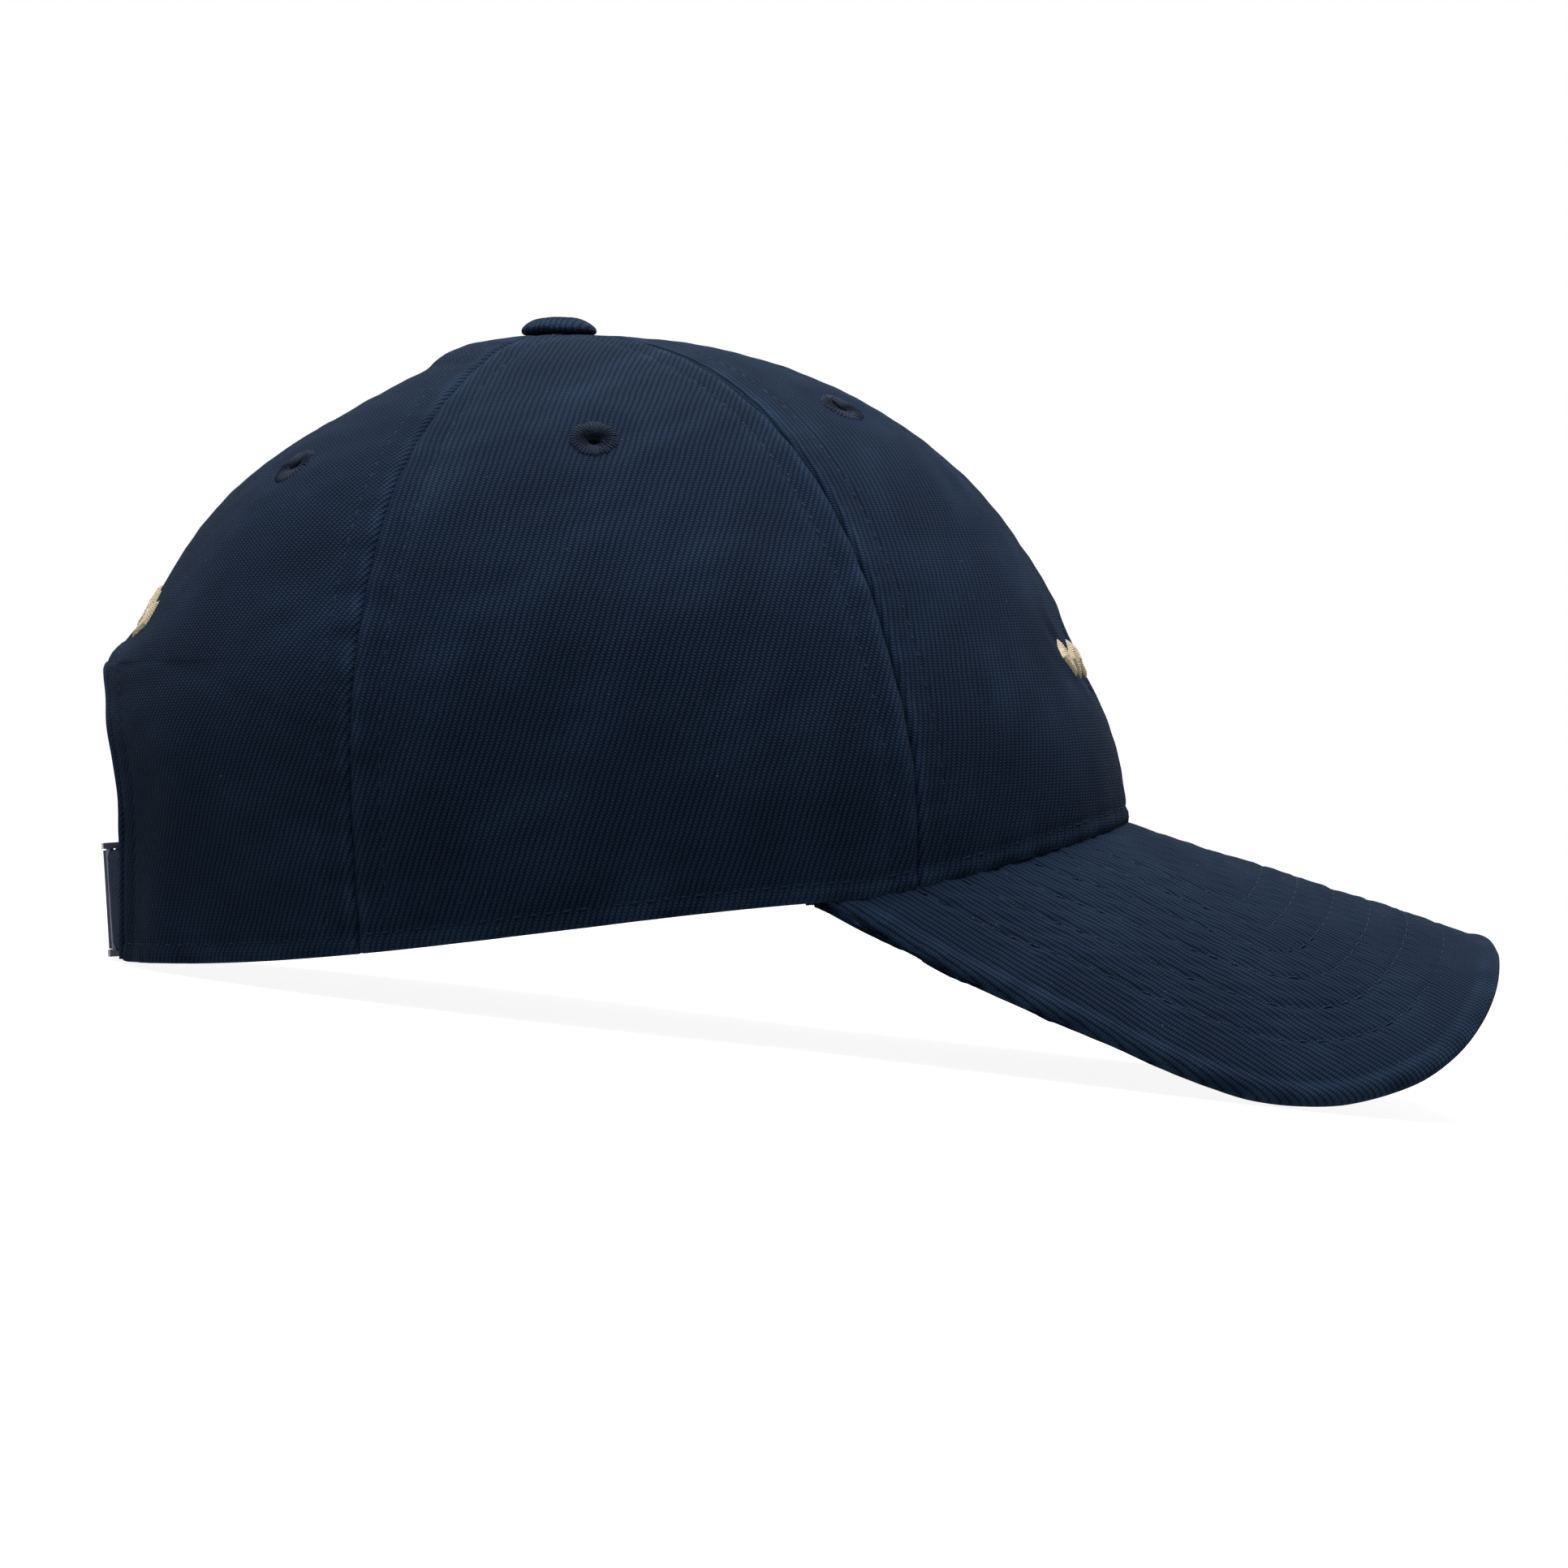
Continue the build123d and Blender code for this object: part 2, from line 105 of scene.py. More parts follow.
def back_trim(z):
    full = BACK_FULLNESS * bell(z - BACK_Z, BACK_WIDTH) * np.clip((z - MID_Z) / 6, 0, 1)
    slope = NAPE_SLOPE * bell(z - NAPE_Z, NAPE_WIDTH)
    return full - slope * np.clip((TOP_Z - 2 - z) / 5, 0, 1)


def crown_ring(az, t):
    """Point of the crown at azimuth az (radians) and dome angle t (radians; below 0 the upright skirt)."""
    cos_a, sin_a = np.cos(az), np.sin(az)
    length = np.where(cos_a > 0, FRONT, BACK)
    reach = 1.0 / np.hypot(cos_a / length, sin_a / SIDE)
    up = np.clip(t, 0, math.pi / 2)
    z = np.where(t > 0, MID_Z + RISE * np.sin(up), MID_Z + t * RISE)
    trim = np.where(cos_a > 0, front_trim(z), back_trim(z)) * cos_a**2
    rho = np.cos(up) + trim
    behind = np.abs(np.abs(np.degrees(az)) - 180)
    flare = 2.6 * bell(z - 61, 5.5) * bell(behind, 20)
    r = reach * rho + flare
    return np.stack([CROWN_X + r * cos_a, r * sin_a, z + 0 * r], -1)


def height_angle(z):
    """Dome angle at a height."""
    return np.where(z > MID_Z, np.arcsin(np.clip((z - MID_Z) / RISE, -1, 1)), (z - MID_Z) / RISE)


def crown_at(az, z, depth=0.0):
    """Points at azimuths and heights, moved a depth inward, and their outward normals."""
    az, z = np.broadcast_arrays(np.asarray(az, float), np.asarray(z, float))
    e = 1e-3
    t = height_angle(z)
    p = crown_ring(az, t)
    du = crown_ring(az + e, t) - crown_ring(az - e, t)
    dz = crown_ring(az, t + e) - crown_ring(az, t - e)
    n = unit(np.cross(du, dz))
    return p - n * np.asarray(depth)[..., None], n


# the base rises from the back to the visor's corners: (forward, height) at four places, joined by a cubic
BASE_PLACES = np.array([(-106, 1.0), (-50, 3.4), (5, 9.9), (60, 14.2)])
BASE_FIT = np.polyfit(BASE_PLACES[:, 0], BASE_PLACES[:, 1], 3)

# ---------- visor shape

SLOPE = math.radians(17.6)
BEND = 92.0
ROOT = np.array([101.0, 0.0, 26.1])
AHEAD = np.array([math.cos(SLOPE), 0, -math.sin(SLOPE)])
ABOVE = np.array([math.sin(SLOPE), 0, math.cos(SLOPE)])
VISOR_HALF = 1.6


def visor_point(forward, across, height):
    """Worn point from the visor's flat pattern: forward, arc distance across (left positive), height."""
    turn = across / BEND
    y = (BEND + height) * np.sin(turn)
    up = (BEND + height) * np.cos(turn) - BEND
    p = ROOT + forward[..., None] * AHEAD + up[..., None] * ABOVE
    p[..., 1] += y
    return p


def visor_top_z(x, y):
    """Height of the visor's top surface above or below a worn point."""
    turn = np.arcsin(np.clip(y / (BEND + VISOR_HALF), -0.95, 0.95))
    up = (BEND + VISOR_HALF) * np.cos(turn) - BEND
    forward = (x - ROOT[0] - up * ABOVE[0]) / AHEAD[0]
    return ROOT[2] + forward * AHEAD[2] + up * ABOVE[2]


def base_z(az):
    """Height of the crown's lower edge at an azimuth."""
    p = crown_ring(az, np.zeros_like(az))
    hem = np.polyval(BASE_FIT, p[..., 0])
    visor = visor_top_z(p[..., 0], p[..., 1]) + 0.15
    front = (p[..., 0] > 25) & (visor > hem)
    return np.where(front, visor, hem)


# ---------- mesh helpers


def normals(p):
    dr = np.gradient(p, axis=0)
    dc = np.gradient(p, axis=1)
    n = np.cross(dr, dc)
    return n / np.maximum(np.linalg.norm(n, axis=-1, keepdims=True), 1e-12)


def grid_faces(rows, cols, start=0, flip=False):
    r, c = np.meshgrid(np.arange(rows - 1), np.arange(cols - 1), indexing="ij")
    a = start + r * cols + c
    quad = np.stack([a, a + cols, a + cols + 1, a + 1], -1).reshape(-1, 4)
    return quad[:, ::-1] if flip else quad


def make_mesh(name, points, faces, uv=None, wear=None):
    """Smooth mesh object from worn points, faces, and per-vertex cloth coordinates and wear."""
    me = bpy.data.meshes.new(name)
    me.from_pydata([], [], [])
    pts = to_row(points)
    me.vertices.add(len(pts))
    me.vertices.foreach_set("co", pts.astype(np.float32).ravel())
    sizes = np.array([len(f) for f in faces], np.int32)
    loops = np.concatenate([np.asarray(f, np.int32) for f in faces])
    me.loops.add(len(loops))
    me.loops.foreach_set("vertex_index", loops)
    me.polygons.add(len(sizes))
    me.polygons.foreach_set("loop_start", np.concatenate([[0], np.cumsum(sizes)[:-1]]).astype(np.int32))
    me.update(calc_edges=True)
    me.validate()
    if uv is not None:
        layer = me.uv_layers.new(name="cloth")
        index = np.zeros(len(me.loops), np.int32)
        me.loops.foreach_get("vertex_index", index)
        layer.data.foreach_set("uv", np.asarray(uv, np.float32)[index].ravel())
    if wear is not None:
        a = me.attributes.new("wear", "FLOAT", "POINT")
        a.data.foreach_set("value", np.asarray(wear, np.float32).ravel())
    me.polygons.foreach_set("use_smooth", np.ones(len(me.polygons), bool))
    ob = bpy.data.objects.new(name, me)
    bpy.context.scene.collection.objects.link(ob)
    return ob


def cloth_sheet(name, p, uv, wear, thick, rim=0.35, hole=None):
    """Closed sheet from a grid: the grid is the face side, and the back lies a thickness behind it. A hole
    (centre, radius) is cut through both sides, with a wall between them."""
    rows, cols = p.shape[:2]
    n = normals(p)
    back = p - n * thick
    count = rows * cols
    ring = np.concatenate([
        np.arange(cols), np.arange(1, rows) * cols + cols - 1,
        (rows - 1) * cols + np.arange(cols - 2, -1, -1), np.arange(rows - 2, 0, -1) * cols])
    r, c = ring // cols, ring % cols
    ri, ci = np.clip(r, 1, rows - 2), np.clip(c, 1, cols - 2)
    out = p[r, c] - p[ri, ci]
    out /= np.maximum(np.linalg.norm(out, axis=-1, keepdims=True), 1e-9)
    middle = p[r, c] - n[r, c] * thick / 2 + out * rim * thick
    pts = np.concatenate([p.reshape(-1, 3), back.reshape(-1, 3), middle])
    k = len(ring)
    i = np.arange(k)
    j = (i + 1) % k
    m = 2 * count
    rim_a = np.stack([ring[j], m + j, m + i, ring[i]], -1)[:, ::-1]
    rim_b = np.stack([m + j, count + ring[j], count + ring[i], m + i], -1)[:, ::-1]
    front_faces = grid_faces(rows, cols)
    wall = []
    if hole is not None:
        keep = np.linalg.norm(p.reshape(-1, 3)[front_faces].mean(1) - hole[0], axis=1) > hole[1]
        dropped = front_faces[~keep]
        front_faces = front_faces[keep]
        sides = {(a, b) for f in dropped.tolist() for a, b in zip(f, f[1:] + f[:1])}
        wall = [(a, b, b + count, a + count) for a, b in sides if (b, a) not in sides]
    back_faces = (front_faces + count)[:, ::-1]
    faces = [*front_faces, *back_faces, *rim_a[:, ::-1], *rim_b[:, ::-1], *wall]
    uvs = np.concatenate([uv.reshape(-1, 2), uv.reshape(-1, 2), uv[r, c]])
    worn = np.concatenate([wear.ravel(), 0 * wear.ravel(), wear[r, c]])
    return make_mesh(name, pts, faces, uvs, worn)


def resample_n(path, n):
    """Even points along a path, carrying any further columns along."""
    d = run_length(path[:, :3])
    s = np.linspace(0, d[-1], n)
    return np.stack([np.interp(s, d, path[:, i]) for i in range(path.shape[1])], -1)


def resample(path, step, normal):
    """Points at even steps along a path, with its normals."""
    count = max(int(run_length(path)[-1] / step), 2)
    both = resample_n(np.concatenate([path, normal], 1), count)
    length = np.linalg.norm(both[:, 3:], axis=-1, keepdims=True)
    return both[:, :3], both[:, 3:] / np.maximum(length, 1e-9)


SIDES = 6
STATIONS = np.array([-1.0, -0.82, -0.35, 0.35, 0.82, 1.0])
GIRTH = np.array([0.25, 0.8, 1.0, 1.0, 0.8, 0.25])


class Stitches:
    """Collects short raised threads along paths, and makes them one mesh."""

    def __init__(self):
        self.points, self.faces, self.count = [], [], 0

    def row(self, path, normal, length=2.2, gap=0.9, radius=0.17, lift=0.04):
        path, normal = resample(np.asarray(path), length + gap, np.asarray(normal))
        if len(path) < 3:
            return
        middle = (path[1:] + path[:-1]) / 2
        t = path[1:] - path[:-1]
        t = unit(t)
        n = normal[1:] + normal[:-1]
        n -= t * (n * t).sum(1, keepdims=True)
        n = unit(n)
        b = np.cross(t, n)
        t = t + b * RNG.normal(0, 0.035, (len(t), 1))
        half = length / 2 * RNG.normal(1, 0.05, (len(t), 1))
        rings = []
        for x, g in zip(STATIONS, GIRTH):
            for k in range(SIDES):
                a = math.tau * k / SIDES
                off = t * half * x + b * radius * g * math.cos(a)
                off = off + n * (lift + radius * 0.8 * g * math.sin(a) - 0.22 * x * x)
                rings.append(middle + off)
        pts = np.stack(rings, 1)
        m, per = len(middle), len(STATIONS) * SIDES
        base = []
        for s in range(len(STATIONS) - 1):
            for k in range(SIDES):
                a, c = s * SIDES + k, s * SIDES + (k + 1) % SIDES
                base.append([a, a + SIDES, c + SIDES, c])
        base = np.array(base)[:, ::-1]
        start = self.count + np.arange(m)[:, None, None] * per
        self.faces.extend((base[None] + start).reshape(-1, 4))
        ends = [list(range(SIDES)), [per - SIDES + k for k in range(SIDES)][::-1]]
        for e in ends:
            self.faces.extend((np.array(e)[None] + start[:, :, 0]).tolist())
        self.points.append(pts.reshape(-1, 3))
        self.count += m * per

    def build(self, name):
        return make_mesh(name, np.concatenate(self.points), self.faces)


def curve_through(points, first, last, count=300):
    """Cubic spline through points with the given directions at its ends, spaced by chord length."""
    pts = np.asarray(points, float)
    h = np.linalg.norm(np.diff(pts, axis=0), axis=1)
    m = len(pts)
    left, right = np.zeros((m, m)), np.zeros((m, 2))
    left[0, 0] = left[-1, -1] = 1.0
    right[0], right[-1] = first / np.linalg.norm(first), last / np.linalg.norm(last)
    for i in range(1, m - 1):
        left[i, i - 1:i + 2] = 1 / h[i - 1], 2 / h[i - 1] + 2 / h[i], 1 / h[i]
        right[i] = 3 * ((pts[i] - pts[i - 1]) / h[i - 1] ** 2 + (pts[i + 1] - pts[i]) / h[i] ** 2)
    slope = np.linalg.solve(left, right)
    knots = np.concatenate([[0], np.cumsum(h)])
    t = np.linspace(0, knots[-1], count)
    i = np.clip(np.searchsorted(knots, t, "right") - 1, 0, m - 2)
    u, w = ((t - knots[i]) / h[i])[:, None], h[i][:, None]
    return ((2 * u**3 - 3 * u**2 + 1) * pts[i] + (u**3 - 2 * u**2 + u) * w * slope[i]
            + (3 * u**2 - 2 * u**3) * pts[i + 1] + (u**3 - u**2) * w * slope[i + 1])


# ---------- materials


class Nodes:
    """Short hand for building a material's nodes."""

    def __init__(self, name):
        self.mat = bpy.data.materials.new(name)
        self.mat.use_nodes = True
        self.tree = self.mat.node_tree
        self.tree.nodes.clear()
        self.out = self.tree.nodes.new("ShaderNodeOutputMaterial")
        self.bsdf = self.tree.nodes.new("ShaderNodeBsdfPrincipled")
        self.tree.links.new(self.bsdf.outputs[0], self.out.inputs[0])

    def put(self, socket, value):
        if hasattr(value, "is_linked"):
            self.tree.links.new(value, socket)
        else:
            socket.default_value = value

    def node(self, kind, **inputs):
        n = self.tree.nodes.new(kind)
        for k, v in inputs.items():
            self.put(n.inputs[int(k[1:])] if k[1:].isdigit() else n.inputs[k.replace("_", " ")], v)
        return n

    def math(self, op, a, b=0.0, c=0.0):
        n = self.tree.nodes.new("ShaderNodeMath")
        n.operation = op
        for socket, value in zip(n.inputs, (a, b, c)):
            self.put(socket, value)
        return n.outputs[0]

    def times(self, a, b):
        return self.math("MULTIPLY", a, b)

    def plus(self, a, b):
        return self.math("ADD", a, b)

    def noise(self, vector, scale, detail=2.0, rough=0.5):
        n = self.node("ShaderNodeTexNoise", Vector=vector, Scale=scale, Detail=detail, Roughness=rough)
        return n.outputs["Fac"]

    def ramp(self, value, low, high, to_low=0.0, to_high=1.0):
        n = self.tree.nodes.new("ShaderNodeMapRange")
        for socket, v in zip(n.inputs, (value, low, high, to_low, to_high)):
            self.put(socket, v)
        return n.outputs[0]

    def mix(self, fac, a, b):
        n = self.tree.nodes.new("ShaderNodeMix")
        n.data_type = "RGBA"
        self.put(n.inputs[0], fac)
        self.put(n.inputs[6], (*a, 1) if isinstance(a, tuple) else a)
        self.put(n.inputs[7], (*b, 1) if isinstance(b, tuple) else b)
        return n.outputs[2]

    def bump(self, height, distance, strength=1.0, normal=None):
        n = self.node("ShaderNodeBump", Height=height, Distance=distance, Strength=strength)
        if normal is not None:
            self.put(n.inputs["Normal"], normal)
        return n.outputs[0]

    def set(self, **values):
        for k, v in values.items():
            if isinstance(v, tuple) and len(v) == 3:
                v = (*v, 1)
            self.put(self.bsdf.inputs[k.replace("_", " ")], v)
        return self.mat


def twill(name, dark, light, wear_tint, pitch=1.1, angle=72.0, depth=0.2, fade=0.12, lint=0.3):
    """Cotton twill in the cloth's own coordinates: slanted ribs of short yarn floats, coloured darker in
    their grooves as painted shade, with fading and lint.
    """
    k = Nodes(name)
    uv = k.node("ShaderNodeUVMap")
    uv.uv_map = "cloth"
    sep = k.node("ShaderNodeSeparateXYZ", Vector=uv.outputs[0])
    drift = k.noise(uv.outputs[0], 90.0, 2.0)
    fine = k.noise(uv.outputs[0], 1500.0, 2.0, 0.7)
    a = math.radians(angle)
    rib = k.math("SUBTRACT", k.times(sep.outputs[0], math.sin(a) * 1000 / pitch),
                 k.times(sep.outputs[1], math.cos(a) * 1000 / pitch))
    rib = k.plus(rib, k.times(drift, 0.9))
    along = k.plus(k.times(sep.outputs[0], math.cos(a) * 1000 / 0.62),
                   k.times(sep.outputs[1], math.sin(a) * 1000 / 0.62))
    ridge = k.math("ABSOLUTE", k.math("SINE", k.times(rib, math.pi)))
    ridge = k.math("POWER", ridge, 0.65)
    stagger = k.times(k.math("FLOOR", rib), 0.37)
    float_ = k.math("SINE", k.times(k.plus(along, stagger), math.tau))
    float_ = k.ramp(float_, -1.0, 1.0)
    height = k.plus(k.times(ridge, 0.55), k.times(k.times(float_, ridge), 0.42))
    height = k.plus(height, k.times(fine, 0.3))
    patch = k.noise(uv.outputs[0], 28.0, 3.0)
    # colour: painted shade, darker in the grooves by the weave's height, mixed with real patchy fading
    groove_shade_and_fade = k.plus(k.times(height, 0.75), k.times(k.ramp(patch, 0.3, 0.7), fade))
    groove_shade_and_fade = k.ramp(groove_shade_and_fade, 0.24, 0.84)
    colour = k.mix(groove_shade_and_fade, dark, light)
    worn = k.node("ShaderNodeAttribute")
    worn.attribute_name = "wear"
    rub = k.times(worn.outputs["Fac"], k.ramp(k.plus(height, fine), 0.5, 1.5))
    colour = k.mix(k.times(rub, 0.75), colour, wear_tint)
    speck = k.ramp(k.noise(uv.outputs[0], 1900.0, 1.0, 0.3), 0.80, 0.84)
    colour = k.mix(k.times(speck, lint), colour, (0.09, 0.11, 0.14))
    normal = k.bump(height, depth / 1000)
    rough = k.ramp(fine, 0.2, 0.8, 0.86, 0.97)
    return k.set(Base_Color=colour, Roughness=rough, Normal=normal, Sheen_Weight=0.006,
                 Sheen_Roughness=0.55, Sheen_Tint=(0.4, 0.55, 0.9), Specular_IOR_Level=0.02)


def thread(name, dark, light, twist=900.0):
    """Sewing thread: plied yarn with a slight lustre, coloured darker in the ply's grooves as painted shade,
    with random fuzz.
    """
    k = Nodes(name)
    co = k.node("ShaderNodeTexCoord").outputs["Object"]
    wave = k.node("ShaderNodeTexWave", Vector=co, Scale=twist, Distortion=2.0)
    wave.bands_direction = "DIAGONAL"
    ply = wave.outputs["Fac"]
    fuzz = k.noise(co, 1800.0, 2.0)
    # colour: painted shade in the ply's grooves, plus random fuzz in tone
    colour = k.mix(k.times(k.plus(ply, fuzz), 0.5), dark, light)
    return k.set(Base_Color=colour, Roughness=0.62, Sheen_Weight=0.004, Specular_IOR_Level=0.03,
                 Normal=k.bump(k.plus(ply, fuzz), 0.00008))


def mesh_cloth(name, dark, light, pitch=0.9):
    """Stiff open-weave buckram."""
    k = Nodes(name)
    uv = k.node("ShaderNodeUVMap")
    uv.uv_map = "cloth"
    sep = k.node("ShaderNodeSeparateXYZ", Vector=uv.outputs[0])
    bars = []
    for axis in (0, 1):
        s = k.math("SINE", k.times(sep.outputs[axis], math.tau * 1000 / pitch))
        bars.append(k.ramp(s, -0.2, 0.7))
    weave = k.math("MAXIMUM", bars[0], bars[1])
    fuzz = k.noise(uv.outputs[0], 900.0, 2.0)
    colour = k.mix(k.times(weave, k.ramp(fuzz, 0.2, 0.8, 0.75, 1.0)), dark, light)
    return k.set(Base_Color=colour, Roughness=0.9, Normal=k.bump(weave, 0.00015))


def metal(name, base, dull, rough, scratch=0.5):
    """Plated metal with fine scratches and rubbed patches."""
    k = Nodes(name)
    co = k.node("ShaderNodeTexCoord").outputs["Object"]
    stretch = k.node("ShaderNodeMapping", Vector=co)
    stretch.inputs["Scale"].default_value = (60, 900, 2600)
    lines = k.noise(stretch.outputs[0], 1.0, 3.0, 0.7)
    patch = k.noise(co, 420.0, 3.0)
    colour = k.mix(k.ramp(patch, 0.35, 0.7), base, dull)
    r = k.ramp(k.plus(k.times(lines, scratch), patch), 0.4, 1.2, rough - 0.08, rough + 0.18)
    return k.set(Base_Color=colour, Metallic=1.0, Roughness=r, Normal=k.bump(lines, 0.00002))


def board_plastic(name):
    k = Nodes(name)
    co = k.node("ShaderNodeTexCoord").outputs["Object"]
    grain = k.noise(co, 700.0, 3.0)
    return k.set(Base_Color=k.mix(grain, (0.62, 0.62, 0.58), (0.74, 0.74, 0.7)), Roughness=0.55,
                 Normal=k.bump(grain, 0.00005))


# darkest navy: painted shade for the twill's grooves; navy: the cloth's own colour; worn navy: real wear
NAVY_GROOVE_SHADE = (0.0003, 0.0008, 0.0018)
NAVY = (0.0023, 0.0059, 0.0135)
NAVY_WORN = (0.0075, 0.0155, 0.031)
# in every twill below, the first colour is painted shade in the grooves and the second is the cloth's own
# colour
TWILL = twill("twill", NAVY_GROOVE_SHADE, NAVY, NAVY_WORN)
VISOR_TWILL = twill("visor_twill", NAVY_GROOVE_SHADE, NAVY, NAVY_WORN)
BINDING_TWILL = twill("binding_twill", NAVY_GROOVE_SHADE, NAVY, NAVY_WORN, pitch=0.9, angle=45.0)
INNER_GROOVE_SHADE, INNER_LIGHT = (0.002, 0.004, 0.008), (0.007, 0.013, 0.027)
STRAP_TWILL = twill("strap_twill", (0.002, 0.0042, 0.009), (0.009, 0.016, 0.031), NAVY_WORN, 0.9, 20.0)
TAPE_TWILL = twill("tape_twill", INNER_GROOVE_SHADE, INNER_LIGHT, NAVY_WORN, 0.7, 55.0)
BAND_TWILL = twill("sweatband_twill", (0.0018, 0.0038, 0.008), (0.0065, 0.012, 0.025), NAVY_WORN, 0.8, 60.0)
NAVY_THREAD = thread("navy_thread", (0.0010, 0.0026, 0.006), (0.0042, 0.0088, 0.019))
EYELET_THREAD = thread("eyelet_thread", (0.0008, 0.002, 0.005), (0.003, 0.0066, 0.0145), 1300.0)
GOLD_THREAD = thread("motif_thread", (0.11, 0.088, 0.055), (0.27, 0.23, 0.165), 1300.0)
BUCKRAM = mesh_cloth("buckram", (0.25, 0.25, 0.23), (0.72, 0.71, 0.66))
GUNMETAL = metal("gunmetal", (0.055, 0.062, 0.078), (0.07, 0.078, 0.096), 0.36)
BUTTON_METAL = metal("button_metal", (0.5, 0.5, 0.5), (0.36, 0.36, 0.37), 0.4)
BOARD = board_plastic("visor_board")


def place(ob, material, body="cap", replaces=()):
    """Give a piece its material and body, and hide the CAD nodes it stands for."""
    ob.data.materials.append(material)
    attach(ob, body)
    if replaces:
        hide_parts(*replaces)
    return ob


# ---------- crown panels

SIDES_OF = {"right": -1, "left": 1}
EYELETS = {"front": (20.0, 111.0), "side": (80.5, 103.0), "back": (150.0, 99.0)}
PANEL_THICK = 0.95
TOPSTITCH = 6.3
HEM_STITCH = 3.4
ROWS, COLS = 150, 130
PANEL_START = 2.4  # how far from the button's middle the panels begin
SKIRT_ANGLE = -0.36  # dome angle that is below the base everywhere
ARCH_STITCH = 5.2  # stitching round the arch, from its edge


def seam_azimuths(which, z):
    """Azimuth of the panel's two seams, in degrees, for the left side, at a height."""
    rear = REAR_SEAM - REAR_SHIFT * np.clip((TOP_Z - z) / (TOP_Z - 3.0), 0, 1)
    front = np.full_like(z, FRONT_SEAM)
    arch_y = np.sqrt(np.clip(ARCH_HALF**2 - np.clip(z - ARCH_Z, 0, None) ** 2, 0, None))
    wall = crown_ring(np.full_like(z, math.pi * 0.93), height_angle(z))
    radius = np.linalg.norm(wall[:, :2] - [CROWN_X, 0], axis=1)
    inner = 180.0 - np.degrees(np.arcsin(arch_y / radius))
    return {
        "front": (0 * z, front),
        "side": (front, rear),
        "back": (rear, inner)}[which]


def gore(which, side):
    """Grid of points over one panel, from the button to the base; columns run with rising azimuth."""
    sign = SIDES_OF[side]
    fine = np.linspace(math.pi / 2 - PANEL_START / RISE, SKIRT_ANGLE, 700)
    z = crown_ring(np.zeros_like(fine), fine)[:, 2]
    low, high = seam_azimuths(which, z)
    grid = np.zeros((ROWS, COLS, 3))
    for i, share in enumerate(np.linspace(0, 1, COLS)):
        if sign < 0:
            share = 1 - share
        az = np.radians(low + (high - low) * share) * sign
        line = crown_ring(az, fine)
        foot = base_z(az)
        keep = line[:, 2] > foot
        last = int(np.argmin(keep)) if not keep.all() else len(line) - 1
        f = (line[last - 1, 2] - foot[last]) / max(line[last - 1, 2] - line[last, 2], 1e-6)
        end = line[last - 1] + (line[last] - line[last - 1]) * np.clip(f, 0, 1)
        grid[:, i] = resample_n(np.concatenate([line[:last], [end]]), ROWS)
    return grid


def grid_lengths(p):
    """Distances within a grid: from its first and last columns, from the top and from the foot."""
    steps = np.linalg.norm(np.diff(p, axis=1), axis=2)
    across = np.concatenate([np.zeros((len(p), 1)), np.cumsum(steps, 1)], 1)
    steps = np.linalg.norm(np.diff(p, axis=0), axis=2)
    down = np.concatenate([np.zeros((1, p.shape[1])), np.cumsum(steps, 0)], 0)
    return across, across[:, -1:] - across, down, down[-1:] - down


def flat_coordinates(p):
    """Cloth coordinates in metres: across from the middle column, up from the foot."""
    across, _, _, up = grid_lengths(p)
    mid = across[:, p.shape[1] // 2][:, None]
    middle_up = up[:, p.shape[1] // 2][:, None]
    return np.stack([(across - mid), 0 * across + middle_up], -1) / 1000.0


MIDDLES = {"front": 20.75, "side": 81.25, "back": 150.5}


def cloth_coordinates(p, which, sign):
    """Cloth coordinates in metres on a panel: across from its middle line, and up from the base."""
    t = np.linspace(-0.4, math.pi / 2, 500)
    line = crown_ring(np.full_like(t, math.radians(MIDDLES[which]) * sign), t)
    rise = run_length(line)
    z = p[..., 2]
    off = np.stack([p[..., i] - np.interp(z, line[:, 2], line[:, i]) for i in (0, 1)], -1)
    az = np.abs(np.arctan2(p[..., 1], p[..., 0] - CROWN_X)) * sign
    across = np.sign(az - math.radians(MIDDLES[which]) * sign) * np.linalg.norm(off, axis=-1)
    return np.stack([across, np.interp(z, line[:, 2], rise)], -1) / 1000.0


def ridge_at(d, centre, width):
    return bell(d - centre, width)


def crossing(line, normal, d, distance):
    """Point and normal where a line of a grid crosses a value of its distance field."""
    order = np.argsort(d)
    return [[np.interp(distance, d[order], a[order, i]) for i in range(3)] for a in (line, normal)]


def path_at(p, n, d, distance, from_foot=False, margin=3):
    """Points of the grid where the distance field crosses a value, one per row (or column), with normals."""
    if from_foot:
        p, n, d = p.transpose(1, 0, 2), n.transpose(1, 0, 2), d.T
    inside = (d.max(1) >= distance) & (d.min(1) <= distance)
    found = np.array([crossing(*line, distance) for line, use in zip(zip(p, n, d), inside) if use])
    return found[margin:-margin or None, 0], found[margin:-margin or None, 1]


def arch_distance(p):
    """Distance of points from the rear arch's edge, positive outside it, seen from behind."""
    y, z = np.abs(p[..., 1]), p[..., 2]
    round_part = np.hypot(y, z - ARCH_Z) - ARCH_HALF
    d = np.where(z > ARCH_Z, round_part, y - ARCH_HALF)
    return np.where(p[..., 0] < CROWN_X - 20, d, 99.0)


